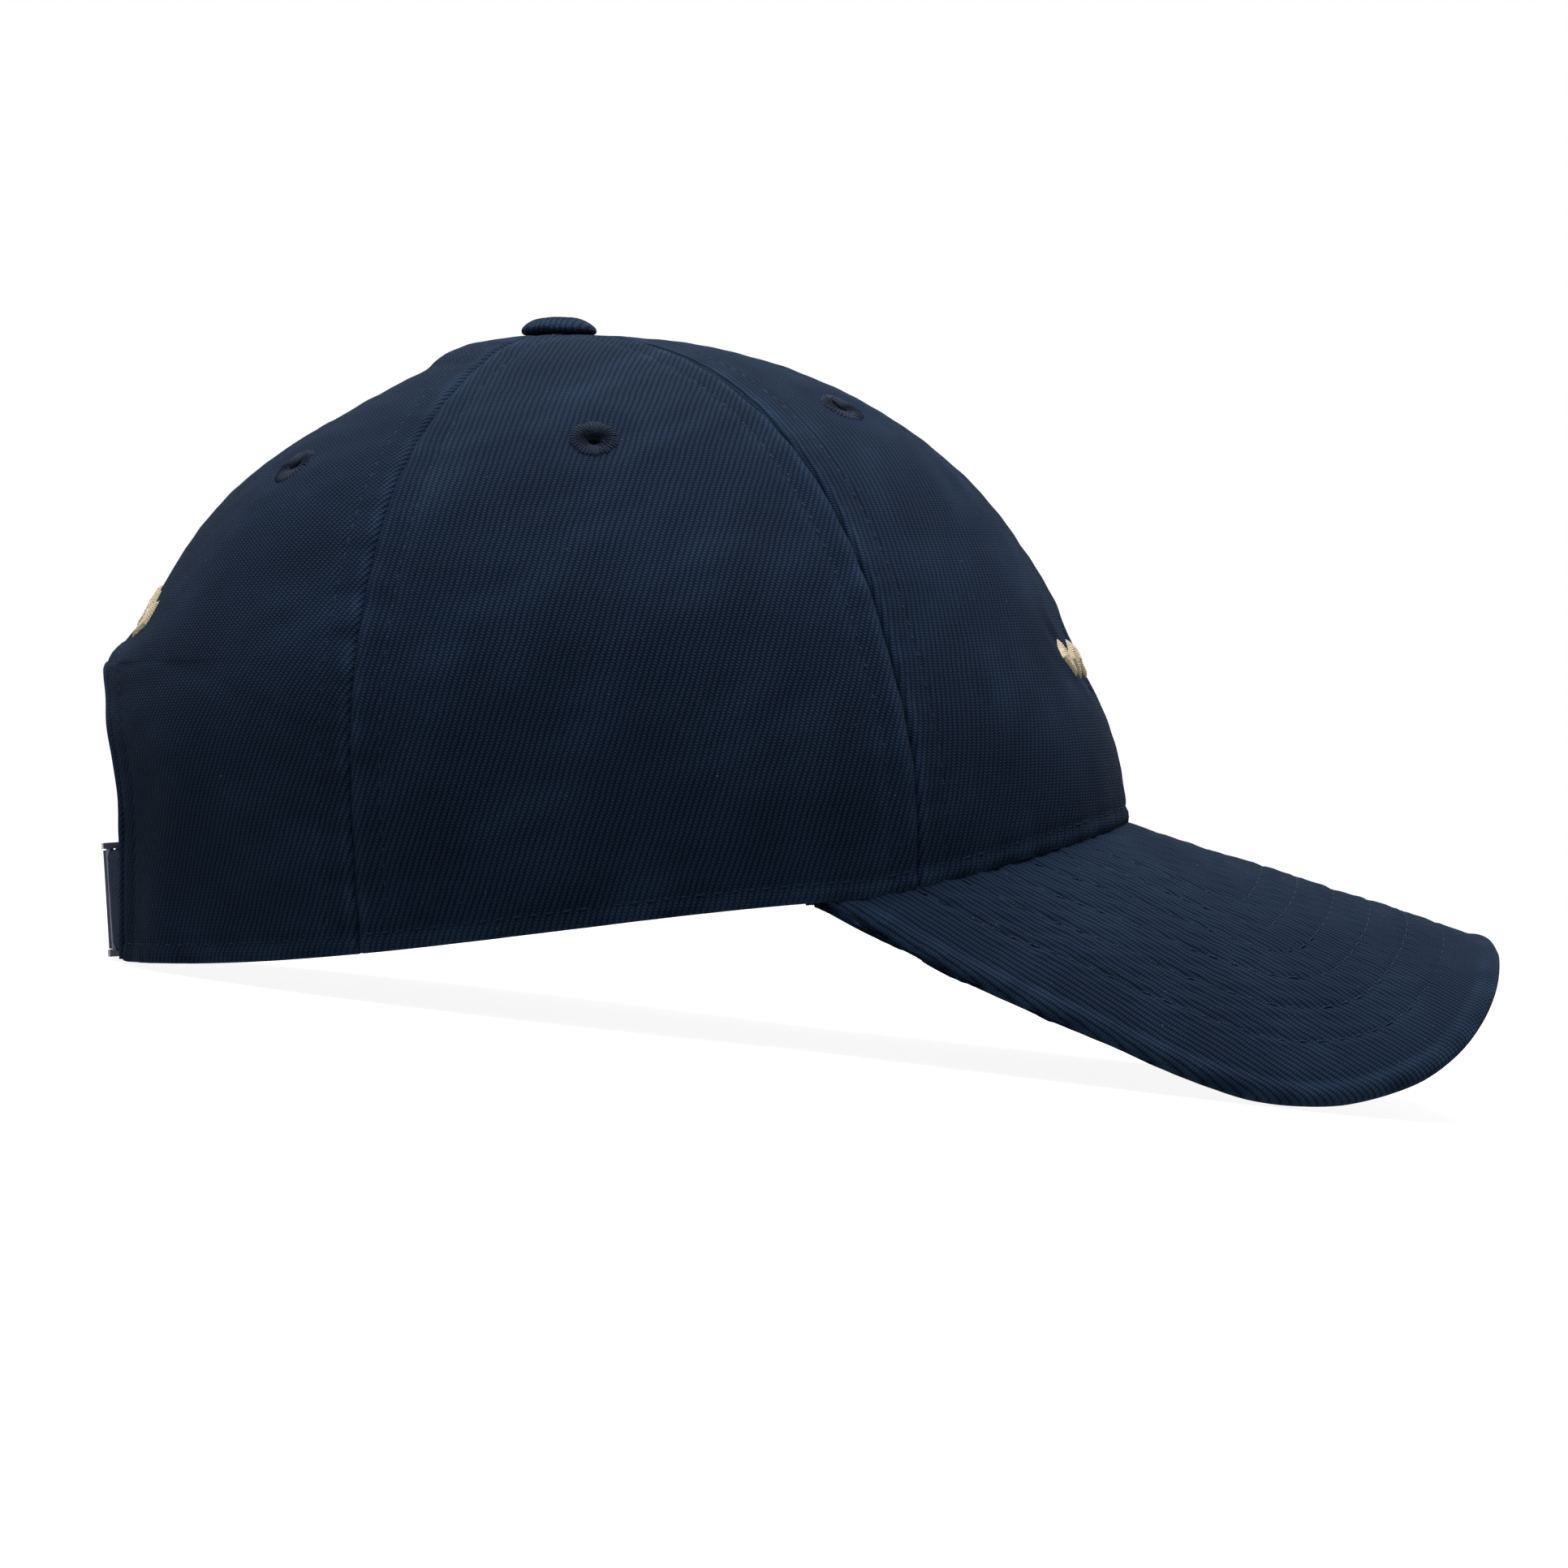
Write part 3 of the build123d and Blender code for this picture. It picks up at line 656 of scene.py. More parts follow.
stitch_rows = Stitches()
CLOTH_POINTS = []
FRONT_GRIDS = {}
seed = 10
for side, sign in SIDES_OF.items():
    for which in ("front", "side", "back"):
        seed += 1
        p = gore(which, side)
        first, last, down, up = grid_lengths(p)
        n, uv = normals(p), cloth_coordinates(p, which, sign)
        if which != "side":
            centre_first = (which == "front") == (sign > 0)
            first, last = (np.abs(p[..., 1]), last) if centre_first else (first, np.abs(p[..., 1]))
        seam = np.minimum(first, last)
        edge = arch_distance(p) if which == "back" else np.full_like(seam, 99.0)
        ease = np.clip(down / 14, 0, 1)
        shift = -0.6 * bell(seam, 0.6) + 0.16 * ridge_at(seam, 2.6, 2.0)
        shift -= 0.18 * ridge_at(seam, TOPSTITCH, 0.6) * ease
        pucker = wobble(down, seam * 0.25, seed * 3, 7.0)
        shift += 0.10 * pucker * bell(seam, 7.5) * ease
        shift = shift - 0.22 * ridge_at(up, HEM_STITCH, 0.6) + 0.34 * ridge_at(up, 1.7, 1.1)
        shift += 0.12 * wobble(first, up * 0.1, seed * 5, 3.0) * bell(up, 6)
        free = np.clip(seam / 16, 0.15, 1) * np.clip(edge / 14, 0.1, 1)
        shift += 0.26 * wobble(first, down, seed * 7, 52.0) * ease * free
        shift += 0.06 * wobble(first, down, seed * 11, 16.0) * ease * np.clip(seam / 10, 0, 1)
        if which == "back":
            shift += 0.35 * ridge_at(edge, 2.2, 1.6) - 0.28 * ridge_at(edge, ARCH_STITCH, 0.7)
            fold = np.abs(np.abs(p[..., 1]) - 47.0 - 0.12 * (p[..., 2] - 20))
            shift += 1.1 * bell(fold, 7) * np.clip((62 - p[..., 2]) / 40, 0, 1)
        eye, _ = crown_at(math.radians(EYELETS[which][0]) * sign, EYELETS[which][1])
        off = np.linalg.norm(p - eye, axis=-1)
        shift = shift - 0.35 * bell(off, 6.5) + 0.2 * ridge_at(off, 9.5, 3.0)
        if which == "front":
            motif = np.exp(-(((p[..., 2] - 61) / 8) ** 4)) * np.exp(-((p[..., 1] / 24) ** 4))
            shift = shift - 0.55 * motif + 0.25 * motif * wobble(p[..., 1], p[..., 2], seed, 9.0)
        shift = np.where(down < 6, shift * 0.6, shift)
        p = p + n * shift[..., None]
        wear = 0.4 * ridge_at(seam, 1.4, 1.0) + 0.75 * bell(up, 1.3) + 0.12 * ridge_at(seam, 7.6, 1.0)
        wear += 0.6 * bell(edge, 1.6) + 0.12 * (1 + wobble(first, down, seed * 13, 30.0))
        wear = wear * np.clip(0.7 + 0.4 * wobble(down, first, seed * 17, 12.0), 0.1, 1.2)
        name = f"cloth_{which}_{side}"
        middle = p.reshape(-1, 3)[np.argmin(np.linalg.norm(p - eye, axis=-1))]
        panel = cloth_sheet(name, p, uv, np.clip(wear, 0, 1), PANEL_THICK, hole=(middle, 2.2))
        place(panel, TWILL, replaces=(f"panel_{which}_{side}",))
        n = normals(p)
        for d in (first, last):
            pts, nr = path_at(p, n, d, TOPSTITCH, margin=4)
            if which == "back":
                keep = arch_distance(pts) > 5.4
                pts, nr = pts[keep], nr[keep]
            stitch_rows.row(pts, nr)
        pts, nr = path_at(p, n, up, HEM_STITCH, from_foot=True, margin=1)
        if which == "back":
            keep = (arch_distance(pts) > 2.0) & (pts[:, 2] < 12)
            pts, nr = pts[keep], nr[keep]
        stitch_rows.row(pts, nr)
        if which == "back":
            stitch_r = ARCH_HALF + ARCH_STITCH
            turn = np.linspace(0, math.pi / 2, 60)
            y = np.concatenate([np.full(40, stitch_r), stitch_r * np.cos(turn)])
            z = np.concatenate([np.linspace(4.5, ARCH_Z, 40), ARCH_Z + stitch_r * np.sin(turn)])
            flat, flat_n = p.reshape(-1, 3), n.reshape(-1, 3)
            behind = flat[:, 0] < CROWN_X - 30
            path, pn = [], []
            for yy, zz in zip(y, z):
                gap = np.where(behind, (flat[:, 1] - sign * yy) ** 2 + (flat[:, 2] - zz) ** 2, 1e9)
                near = np.argsort(gap)[:4]
                share = 1 / (gap[near] + 0.01)
                path.append((flat[near] * share[:, None]).sum(0) / share.sum())
                pn.append(flat_n[near].mean(0))
            stitch_rows.row(path[1:-1], pn[1:-1])
        CLOTH_POINTS.append(p.reshape(-1, 3))
        if which == "front":
            FRONT_GRIDS[side] = (p, middle)

# ---------- finding places on the cloth


def build_tree(points):
    tree = KDTree(len(points))
    for i, q in enumerate(points):
        tree.insert(q, i)
    tree.balance()
    return tree


def on_cloth(tree, q, n, height, near=10):
    """Moves base points to a height above the puckered cloth near them."""
    out = np.array(q, float)
    for i, (a, b) in enumerate(zip(q.reshape(-1, 3), n.reshape(-1, 3))):
        found = tree.find_n(a, near)
        shift = float(np.mean([np.dot(np.array(co) - a, b) for co, _, _ in found]))
        out.reshape(-1, 3)[i] = a + b * (shift + np.asarray(height).ravel()[i])
    return out


def seen_from(y, z, ahead):
    """Crown points with the given sideways position and height, on its front or back, and their normals."""
    y, z = np.broadcast_arrays(np.asarray(y, float), np.asarray(z, float))
    low, high = (0.0, 88.0) if ahead else (180.0, 92.0)
    az = np.radians(np.linspace(low, high, 240))
    found = np.zeros(y.shape)
    for i in np.ndindex(y.shape):
        ring, _ = crown_at(az, np.full_like(az, z[i]))
        found[i] = np.interp(abs(y[i]), ring[:, 1], az) * (1 if y[i] >= 0 else -1)
    return crown_at(found, z)


def swept(name, path, normal, outline):
    """Solid strip along a path: outline holds (across, height) pairs, anticlockwise."""
    t = unit(np.gradient(path, axis=0))
    n = normal - t * (normal * t).sum(1, keepdims=True)
    n = unit(n)
    b = np.cross(t, n)
    pts = np.stack([path + b * a + n * h for a, h in outline], 1)
    m, k = pts.shape[:2]
    i, j = np.meshgrid(np.arange(m - 1), np.arange(k), indexing="ij")
    a, c = i * k + j, i * k + (j + 1) % k
    faces = list(np.stack([a, c, c + k, a + k], -1).reshape(-1, 4))
    faces.append(np.arange(k)[::-1])
    faces.append((m - 1) * k + np.arange(k))
    d = run_length(path)
    girth = np.cumsum([0, *[math.dist(outline[q], outline[q + 1]) for q in range(k - 1)]])
    uv = np.stack(np.broadcast_arrays(d[:, None], girth[None]), -1).reshape(-1, 2) / 1000
    return make_mesh(name, pts.reshape(-1, 3), faces, uv, np.full(m * k, 0.35))


# ---------- crown stitching

place(stitch_rows.build("topstitch_crown"), NAVY_THREAD)
cloth_tree = build_tree(np.concatenate(CLOTH_POINTS))

# ---------- eyelets

for which, (azimuth, height) in EYELETS.items():
    for side, sign in SIDES_OF.items():
        centre, axis = crown_at(np.array([math.radians(azimuth) * sign]), np.array([height]))
        axis = axis[0]
        centre = on_cloth(cloth_tree, centre, axis[None], np.zeros(1), 30)[0]
        right = np.cross([0, 0, 1.0], axis)
        right /= np.linalg.norm(right)
        up = np.cross(axis, right)
        turns = 216
        a = np.linspace(0, math.tau, turns, endpoint=False)
        profile = [(4.95, -0.3), (4.8, 0.02), (4.4, 0.26), (3.7, 0.42), (3.0, 0.44), (2.4, 0.3), (1.75, 0.0),
                   (1.35, -0.45), (1.3, -1.1), (1.7, -1.75), (2.6, -2.1), (3.6, -2.05), (4.5, -1.75),
                   (4.9, -1.2)]
        rings = []
        jitter = RNG.normal(0, 0.12, turns // 6).repeat(6)
        for r, h in profile:
            thread_wave = 0.13 * np.cos(a * turns / 6)
            rr = r + (jitter if r > 4.3 else 0) + 0.05 * np.sin(3 * a)
            hh = h + np.sign(h + 0.8) * (thread_wave + 0.1 * jitter)
            rings.append(centre + rr[:, None] * (np.cos(a)[:, None] * right + np.sin(a)[:, None] * up)
                         + hh[:, None] * axis)
        pts = np.stack(rings, 1)
        k = len(profile)
        i, j = np.meshgrid(np.arange(turns), np.arange(k), indexing="ij")
        q = i * k + j
        faces = np.stack([q, i * k + (j + 1) % k, ((i + 1) % turns) * k + (j + 1) % k,
                          ((i + 1) % turns) * k + j], -1).reshape(-1, 4)[:, ::-1]
        ring = make_mesh(f"eyelet_ring_{which}_{side}", pts.reshape(-1, 3), list(faces))
        place(ring, EYELET_THREAD, replaces=(f"eyelet_{which}_{side}",))

# ---------- inside: buckram, tapes, sweatband

for side, (p, middle) in FRONT_GRIDS.items():
    inner = p[14:-2, 3:-3]
    lining = cloth_sheet(f"buckram_mesh_{side}", inner - normals(inner) * 1.12, flat_coordinates(inner),
                         0 * inner[..., 0], 0.45, hole=(middle, 3.0))
    place(lining, BUCKRAM, replaces=(f"buckram_front_{side}",))


def tape(name, node, azimuth_of, low_z, overlap=0.0):
    """Seam tape under a seam: azimuth_of gives the seam's azimuth in degrees at a height."""
    z = np.linspace(TOP_Z - 1.2, low_z, 120)
    az = np.radians(azimuth_of(z))
    line, n = crown_at(az, z, 0.0)
    t = unit(np.gradient(line, axis=0))
    b = np.cross(t, n)
    across = np.linspace(-8, 8, 27)
    taper = np.clip((np.linspace(0, 1, 120) * 140) / 10, 0.15, 1.0)[:, None, None]
    p = line[:, None] + b[:, None] * across[None, :, None] * taper
    drop = across**2 / 2 / 84
    bulge = 0.28 * np.cos(across / 8 * math.pi * 1.5)
    p = p - n[:, None] * (2.0 + overlap + drop + bulge)[None, :, None]
    pucker = 0.14 * wobble(z[:, None] + 0 * across, across[None] + 0 * z[:, None], 31, 9.0)
    p = p + n[:, None] * pucker[..., None]
    p = p[:, ::-1]
    ob = cloth_sheet(name, p, flat_coordinates(p), 0.1 + 0 * p[..., 0], 0.5)
    place(ob, TAPE_TWILL, replaces=(node,))
    back = p - normals(p) * 0.5
    for column in (2, -3):
        tape_rows.row(back[4:-2, column], -normals(p)[4:-2, column], 2.3, 0.8)


tape_rows = Stitches()


def rear_seam(z):
    return REAR_SEAM - REAR_SHIFT * np.clip((TOP_Z - z) / (TOP_Z - 3.0), 0, 1)


tape("tape_cloth_front_centre", "tape_front_centre", lambda z: 0 * z, 28.0)
tape("tape_cloth_back_centre", "tape_back_centre", lambda z: 0 * z + 180, ARCH_Z + ARCH_HALF + 2.5)
for side, sign in SIDES_OF.items():
    tape(f"tape_cloth_front_{side}", f"tape_front_{side}", lambda z: 0 * z + FRONT_SEAM * sign, 24.0, 0.3)
    tape(f"tape_cloth_back_{side}", f"tape_back_{side}", lambda z: rear_seam(z) * sign, 6.0, 0.3)
place(tape_rows.build("tape_stitching"), NAVY_THREAD)

BAND_END = 157.5
az = np.radians(np.linspace(-BAND_END, BAND_END, 420))
foot = base_z(az) + 0.8
share = np.linspace(1, 0, 34)[:, None]
z = foot[None] + share * (33.0 + 0.5 * wobble(az * 90, 0 * az, 41, 60.0))[None]
depth = 4.3 + np.where(np.cos(az) < 0, 2.7, 0.1)[None] * np.cos(az)[None] ** 2 + 0 * z
depth = depth + 0.22 * wobble(az[None] * 90 + 0 * z, z, 43, 24.0) - 0.5 * (1 - share) ** 6
band, _ = crown_at(az[None] + 0 * z, z, depth)
band_ob = cloth_sheet("sweatband_cloth", band, flat_coordinates(band), 0.15 + 0 * z, 1.1)
place(band_ob, BAND_TWILL, replaces=("sweatband",))
band_rows = Stitches()
inner = band - normals(band) * 1.1
for row in (2, 4, 30):
    band_rows.row(inner[row, 2:-2], -normals(band)[row, 2:-2], 2.6, 0.8)
place(band_rows.build("sweatband_stitching"), NAVY_THREAD)

# ---------- arch binding

turn = np.linspace(0, math.pi, 120)
leg = np.linspace(1.1, ARCH_Z, 30)[:-1]
upright = np.full(len(leg), ARCH_HALF)
arch_y = np.concatenate([-upright, -ARCH_HALF * np.cos(turn), upright])
arch_z = np.concatenate([leg, ARCH_Z + ARCH_HALF * np.sin(turn), leg[::-1]])
arch_path, arch_normal = seen_from(arch_y, arch_z, False)
arch_path = arch_path + arch_normal * 0.12 * wobble(arch_z, arch_y, 51, 14.0)[:, None]
tape_outside = [(1.8, -1.2), (1.2, -1.5), (0.2, -1.5), (-0.4, -1.3), (-0.6, -0.8), (-0.55, 0.1),
                (-0.35, 0.42), (0.2, 0.62), (1.0, 0.6), (1.6, 0.42), (1.85, 0.12)]
tape_inside = [(1.6, 0.06), (1.0, 0.2), (0.2, 0.22), (-0.12, 0.0), (-0.15, -0.8), (0.2, -1.08), (1.2, -1.1),
               (1.7, -1.02)]
outline = tape_outside + tape_inside
binding = swept("binding_cloth", arch_path, arch_normal, [(-a, h) for a, h in outline][::-1])
place(binding, BINDING_TWILL, replaces=("arch_binding",))

# ---------- button

rim = 7.5
radius = np.array([0.02, 0.8, 1.7, 2.7, 3.7, 4.7, 5.6, 6.4, 7.0, 7.4, 7.55, 7.45, 7.1, 6.5, 5.6])
rise = np.array([3.0, 2.98, 2.93, 2.83, 2.66, 2.4, 2.06, 1.6, 1.1, 0.62, 0.1, -0.32, -0.6, -0.72, -0.78])
profile = np.stack([radius, rise], -1)
along = np.gradient(profile, axis=0)
along /= np.linalg.norm(along, axis=1, keepdims=True)
inside = profile - 0.42 * np.stack([-along[:, 1], along[:, 0]], -1)
inside[0, 0] = 0.02
profile = np.concatenate([profile, inside[::-1]])
a = np.linspace(0, math.tau, 144, endpoint=False)
ripple = 0.07 * np.cos(17 * a + 1.5 * np.sin(2 * a)) + 0.05 * np.cos(29 * a)
rings = []
for r, h in profile:
    rr = r + ripple * (r / rim) ** 4
    hh = h + 0.05 * wobble(r * np.cos(a), r * np.sin(a), 61, 6.0)
    rings.append(np.stack([CROWN_X + rr * np.cos(a), rr * np.sin(a), 127.35 + hh], -1))
cover = np.stack(rings, 0)
count = len(a)
i, j = np.meshgrid(np.arange(len(cover) - 1), np.arange(count), indexing="ij")
q = i * count + j
faces = list(np.stack([q, q + count, i * count + count + (j + 1) % count, i * count + (j + 1) % count], -1)
             .reshape(-1, 4))
faces.append(np.arange(count)[::-1])
faces.append((len(cover) - 1) * count + np.arange(count))
button_uv = (cover[..., :2] - [CROWN_X, 0]).reshape(-1, 2) / 1000
from_rim = np.broadcast_to(profile[:, :1], cover.shape[:2]) - 6.6
button_wear = np.clip(0.5 * bell(from_rim, 1.2), 0, 1)
button = make_mesh("button_cloth", cover.reshape(-1, 3), faces, button_uv, button_wear.ravel())
place(button, TWILL, replaces=("button_fabric_cover",))
face = cover[:len(radius)]
face = np.concatenate([face, face[:, :1]], 1)

# ---------- visor

OUTLINE = [(-57, -68), (-20, -73), (8, -75), (46, -74.4), (68.5, -62.5), (76.5, -40), (77, 0)]
edge_line = curve_through(OUTLINE, np.array([1, -0.15]), np.array([0, 1.0]))
edge_line = np.concatenate([edge_line, edge_line[-2::-1] * [1, -1]])
edge_line[:, 1] = BEND * np.arcsin(edge_line[:, 1] / (BEND - VISOR_HALF))


def crown_line(y):
    """Flat visor coordinates of the crown's wall, at sideways positions y."""
    s = BEND * np.arcsin(y / BEND)
    up = BEND * np.cos(s / BEND) - BEND
    x = CROWN_X + 111.2 * np.sqrt(np.clip(1 - (y / 77.4) ** 2, 0, 1))
    return np.stack([(x - ROOT[0] - up * ABOVE[0]) / AHEAD[0], s], -1)


edge_y = BEND * np.sin(edge_line[:, 1] / BEND)
outside = edge_line[:, 0] > crown_line(edge_y)[:, 0]
edge_line = edge_line[outside]
corner = BEND * math.sin(abs(edge_line[0, 1]) / BEND)
root_line = crown_line(corner * np.sin(np.linspace(-math.pi / 2, math.pi / 2, 300)))


V_COLS, V_ROWS = 340, 110
edge_pts, root_pts = resample_n(edge_line, V_COLS), resample_n(root_line, V_COLS)
v = (1 - (1 - np.linspace(0, 1, V_ROWS)) ** 1.35)[:, None, None]
flat = root_pts[None] * (1 - v) + edge_pts[None] * v
gap = np.full(flat.shape[:2], 1e9)
for q in resample_n(edge_line, 700):
    gap = np.minimum(gap, np.hypot(flat[..., 0] - q[0], flat[..., 1] - q[1]))
gap[-1] = 0
ROW_INSETS = 11.6 + 7.5 * np.arange(6)
row_field = gap / (1 + 0.2 * np.clip(np.abs(flat[..., 1]) / 78, 0, 1) ** 1.5)
visor_rows = Stitches()
for layer, up_side in (("top", 1.0), ("under", -1.0)):
    bend_in = VISOR_HALF * np.sqrt(np.clip(1 - (1 - np.clip(gap / 1.9, 0, 1)) ** 2, 0, 1))
    relief = 0.26 * ridge_at(gap, 2.6, 1.3) - 0.12 * ridge_at(gap, 4.6, 1.0)
    for inset in ROW_INSETS:
        relief -= 0.26 * ridge_at(row_field, inset, 0.7)
    lane = np.clip((gap - 9) / 3, 0, 1)
    relief += 0.12 * lane * wobble(flat[..., 0], flat[..., 1], 71, 5.0)
    waves = wobble(flat[..., 0], flat[..., 1], 73 if up_side > 0 else 77, 24.0)
    relief += 0.20 * waves * np.clip(gap / 4, 0, 1)
    height = bend_in * up_side + relief * up_side * np.clip(gap / 1.2, 0, 1)
    p = visor_point(flat[..., 0], flat[..., 1], height)
    if up_side < 0:
        p = p[:, ::-1]
    uv = np.stack([-flat[..., 1], flat[..., 0]], -1) / 1000
    wear = 0.85 * bell(gap, 1.5) + 0.22 * bell(gap - 3.4, 1.4)
    wear += 0.3 * np.clip(wobble(flat[..., 0], flat[..., 1], 79, 34.0), 0, 1) * 0.5
    wear = np.clip(wear * np.clip(0.75 + 0.4 * wobble(flat[..., 0], flat[..., 1], 83, 9.0), 0.15, 1.2), 0, 1)
    if up_side < 0:
        uv, wear = uv[:, ::-1], wear[:, ::-1]
    ob = cloth_sheet(f"visor_cloth_{layer}", p, uv, wear, 0.78, rim=0.0)
    place(ob, VISOR_TWILL, replaces=(f"visor_{layer}_cover",))
    ring = np.concatenate([edge_pts, root_pts[::-1]])
    n = normals(p)
    d = row_field if up_side > 0 else row_field[:, ::-1]
    for inset in ROW_INSETS:
        columns = np.flatnonzero(d[0] >= inset + 1.0)
        found = np.array([crossing(p[:, c], n[:, c], d[:, c], inset) for c in columns])
        visor_rows.row(found[:, 0], found[:, 1], 2.9, 1.0)
place(visor_rows.build("topstitch_visor"), NAVY_THREAD)

# ---------- strap

STRAP_LEAN = math.radians(3.5)
STRAP_ORIGIN = np.array([-31.0, 0, 16.95])
STRAP_HALF = 9.3
STRAP_OUT = np.array([-math.cos(STRAP_LEAN), 0, -math.sin(STRAP_LEAN)])
STRAP_RIGHT = np.array([0, -1.0, 0])
STRAP_UP = np.array([-math.sin(STRAP_LEAN), 0, math.cos(STRAP_LEAN)])


def strap_point(radius, degrees, height):
    a = np.radians(degrees)
    outward = (radius * np.cos(a))[..., None] * STRAP_OUT
    sideways = (radius * np.sin(a))[..., None] * STRAP_RIGHT
    return STRAP_ORIGIN + outward + sideways + height[..., None] * STRAP_UP


for name, node, r_out, start, end, body, seed in (
        ("strap_cloth_long", "strap_long", 71.3, -43.0, 30.0, "strap", 91),
        ("strap_cloth_short", "strap_short", 72.8, 10.5, 44.0, "cap", 93)):
    cols = 160
    deg = np.linspace(start, end, cols)[None]
    h = np.linspace(STRAP_HALF, -STRAP_HALF, 40)[:, None]
    deg, h = np.broadcast_arrays(deg, h)
    along = np.radians(deg - start) * r_out
    from_edge = STRAP_HALF - np.abs(h)
    r = r_out - 0.5 * bell(from_edge, 0.5) + 0.0 * h
    r = r - 0.14 * ridge_at(from_edge, 1.9, 0.5) + 0.05 * wobble(along, h, seed, 6.0)
    p = strap_point(r, deg, h)
    p = p[:, ::-1]
    uv = np.stack([along, h], -1)[:, ::-1] / 1000
    wear = 0.45 * bell(from_edge, 0.9)[:, ::-1]
    ob = cloth_sheet(name, p, uv, wear, 1.1, rim=0.2)
    place(ob, STRAP_TWILL, body, replaces=(node,))
    rows = Stitches()
    n = normals(p)
    for row in (4, -5):
        rows.row(p[row, 2:-2], n[row, 2:-2], 2.2, 0.8, 0.2, 0.02)
    across_at = 4 if name.endswith("short") else 3
    rows.row(p[5:-5, across_at], n[5:-5, across_at], 2.2, 0.8, 0.2, 0.02)
    place(rows.build(name + "_stitching"), NAVY_THREAD, body)

# ---------- embroidery


def satin(name, node, patches):
    """Raised satin stitching: each patch gives base points, normals, a 0-1 fill and an across coordinate."""
    points, faces, start = [], [], 0
    for base, n, fill, across in patches:
        ridges = 0.09 * np.cos(across * math.tau / 0.42 + 0.6 * np.sin(across * 2.1))
        height = -0.25 + 1.0 * np.clip(fill, 0, 1) ** 0.5 + ridges * (fill > 0.02)
        p = on_cloth(cloth_tree, base, n, height, 7)
        rows, cols = p.shape[:2]
        points.append(p.reshape(-1, 3))
        faces.extend(grid_faces(rows, cols, start))
        start += rows * cols
    ob = make_mesh(name, np.concatenate(points), faces)
    place(ob, GOLD_THREAD, replaces=(node,))


LOZENGE_WIDE, LOZENGE_HIGH = 5.6, 7.5
FRONT_STEP, FRONT_MOTIF_Z = 6.0, 61.0
REAR_STEP, REAR_RADIUS = 8.2, 43.5  # degrees and mm round the arch
BAR_THICK = 1.2


def lozenge(place_at):
    """Grid over a lozenge, a little past its edges, placed by a function of local (across, up)."""
    g = np.linspace(-1, 1, 39)
    a, b = np.meshgrid(g, g)
    x, y = (a - b) / 2 * LOZENGE_WIDE / 2 * 1.06, (a + b) / 2 * LOZENGE_HIGH / 2 * 1.06
    fill = np.minimum(1 - np.abs(a), 1 - np.abs(b)) * 3.2
    fill = np.where(fill > 0, fill, 0)
    base, n = place_at(x, y)
    return base, n, fill, y


def bar(place_at, length, thick):
    x, y = np.meshgrid(np.linspace(-length / 2, length / 2, 170), np.linspace(-thick / 2, thick / 2, 9))
    fill = (1 - np.abs(y) / (thick / 2)) * 2.2
    base, n = place_at(x, y)
    return base, n, fill, x


def front_place(dx):
    return lambda x, y: seen_from(x + dx, FRONT_MOTIF_Z + y, True)


def rear_place(degrees):
    def at(x, y):
        a = math.radians(degrees) + x / REAR_RADIUS
        r = REAR_RADIUS + y
        return seen_from(r * np.sin(a), ARCH_Z + r * np.cos(a), False)
    return at


front_bar = bar(front_place(0), 6 * FRONT_STEP, BAR_THICK)
front_lozenges = [lozenge(front_place((i - 3) * FRONT_STEP)) for i in range(7)]
satin("embroidery_threads_front", "embroidery_front", [front_bar, *front_lozenges])
rear_bar = bar(rear_place(0), math.radians(REAR_STEP * 6) * REAR_RADIUS, BAR_THICK)
rear_lozenges = [lozenge(rear_place((i - 3) * REAR_STEP)) for i in range(7)]
satin("embroidery_threads_back", "embroidery_back", [rear_bar, *rear_lozenges])

# ---------- hard parts keep their CAD shapes

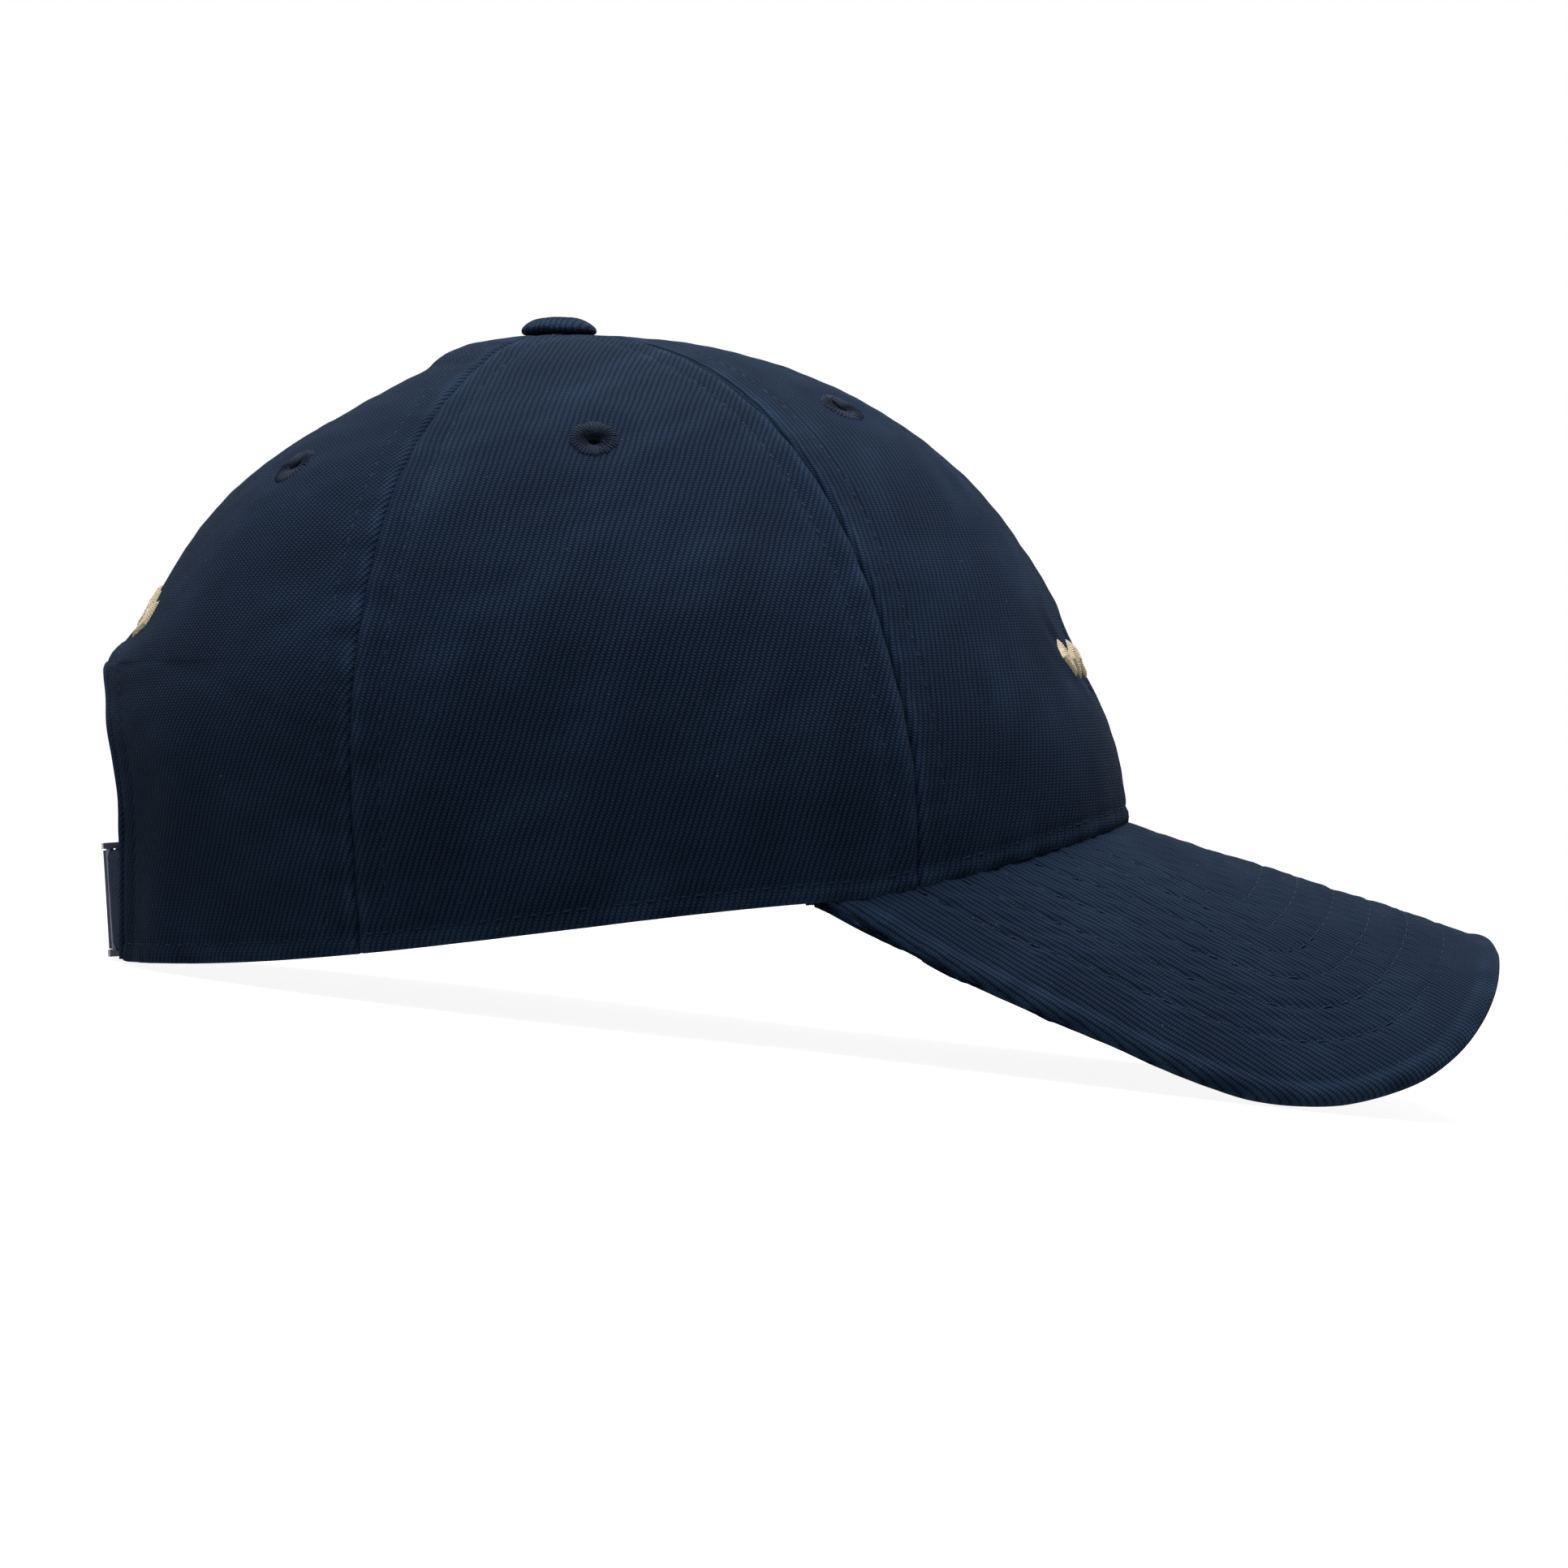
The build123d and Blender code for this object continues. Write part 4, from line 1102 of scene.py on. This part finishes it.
HARD_PARTS = {"buckle_frame": GUNMETAL, "buckle_pin": GUNMETAL, "buckle_clasp": GUNMETAL,
              "button_shell": BUTTON_METAL, "button_rivet": BUTTON_METAL, "visor_board": BOARD}
for node, material in HARD_PARTS.items():
    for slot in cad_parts[node].material_slots:
        slot.material = material

# ---------- floor, light and camera

floor_mesh = bpy.data.meshes.new("floor")
floor_mesh.from_pydata([(-6, -6, 0), (6, -6, 0), (6, 6, 0), (-6, 6, 0)], [], [(0, 1, 2, 3)])
floor = bpy.data.objects.new("floor", floor_mesh)
bpy.context.scene.collection.objects.link(floor)
k = Nodes("floor_paper")
k.set(Base_Color=(0.1, 0.1, 0.1), Roughness=0.9, Specular_IOR_Level=0.05, Emission_Color=(1.0, 1.0, 1.0),
      Emission_Strength=0.91)
floor_mesh.materials.append(k.mat)

scene = bpy.context.scene
world = bpy.data.worlds.new("studio")
world.use_nodes = True
world.node_tree.nodes["Background"].inputs[0].default_value = (1, 1, 1, 1)
world.node_tree.nodes["Background"].inputs[1].default_value = 1.0
scene.world = world


def softbox(name, location, size, watts, aim=(0, 0, 0.06)):
    light = bpy.data.lights.new(name, "AREA")
    light.shape = "RECTANGLE"
    light.size, light.size_y = size
    light.energy = watts
    ob = bpy.data.objects.new(name, light)
    ob.location = location
    ob.rotation_euler = (Vector(aim) - Vector(location)).to_track_quat("-Z", "Y").to_euler()
    scene.collection.objects.link(ob)


softbox("top_light", (-0.05, 0.02, 1.35), (1.1, 0.9), 112.0)
softbox("left_light", (-1.5, -0.3, 0.7), (0.8, 1.2), 5.0)
softbox("right_light", (1.5, -0.3, 0.7), (0.8, 1.2), 3.0)

camera = bpy.data.cameras.new("camera")
camera.sensor_width = 36.0
camera.lens = 147.3
camera_ob = bpy.data.objects.new("camera", camera)
up = Vector((-math.sin(PITCH), 0, math.cos(PITCH)))
ahead = Vector((0, 1, 0))
right = ahead.cross(up)
turn = Matrix((right, up, -ahead)).transposed().to_4x4()
camera_ob.matrix_world = Matrix.Translation((-0.00511, -1.3, 0.0506)) @ turn
scene.collection.objects.link(camera_ob)
scene.camera = camera_ob
scene.view_settings.view_transform = "Standard"
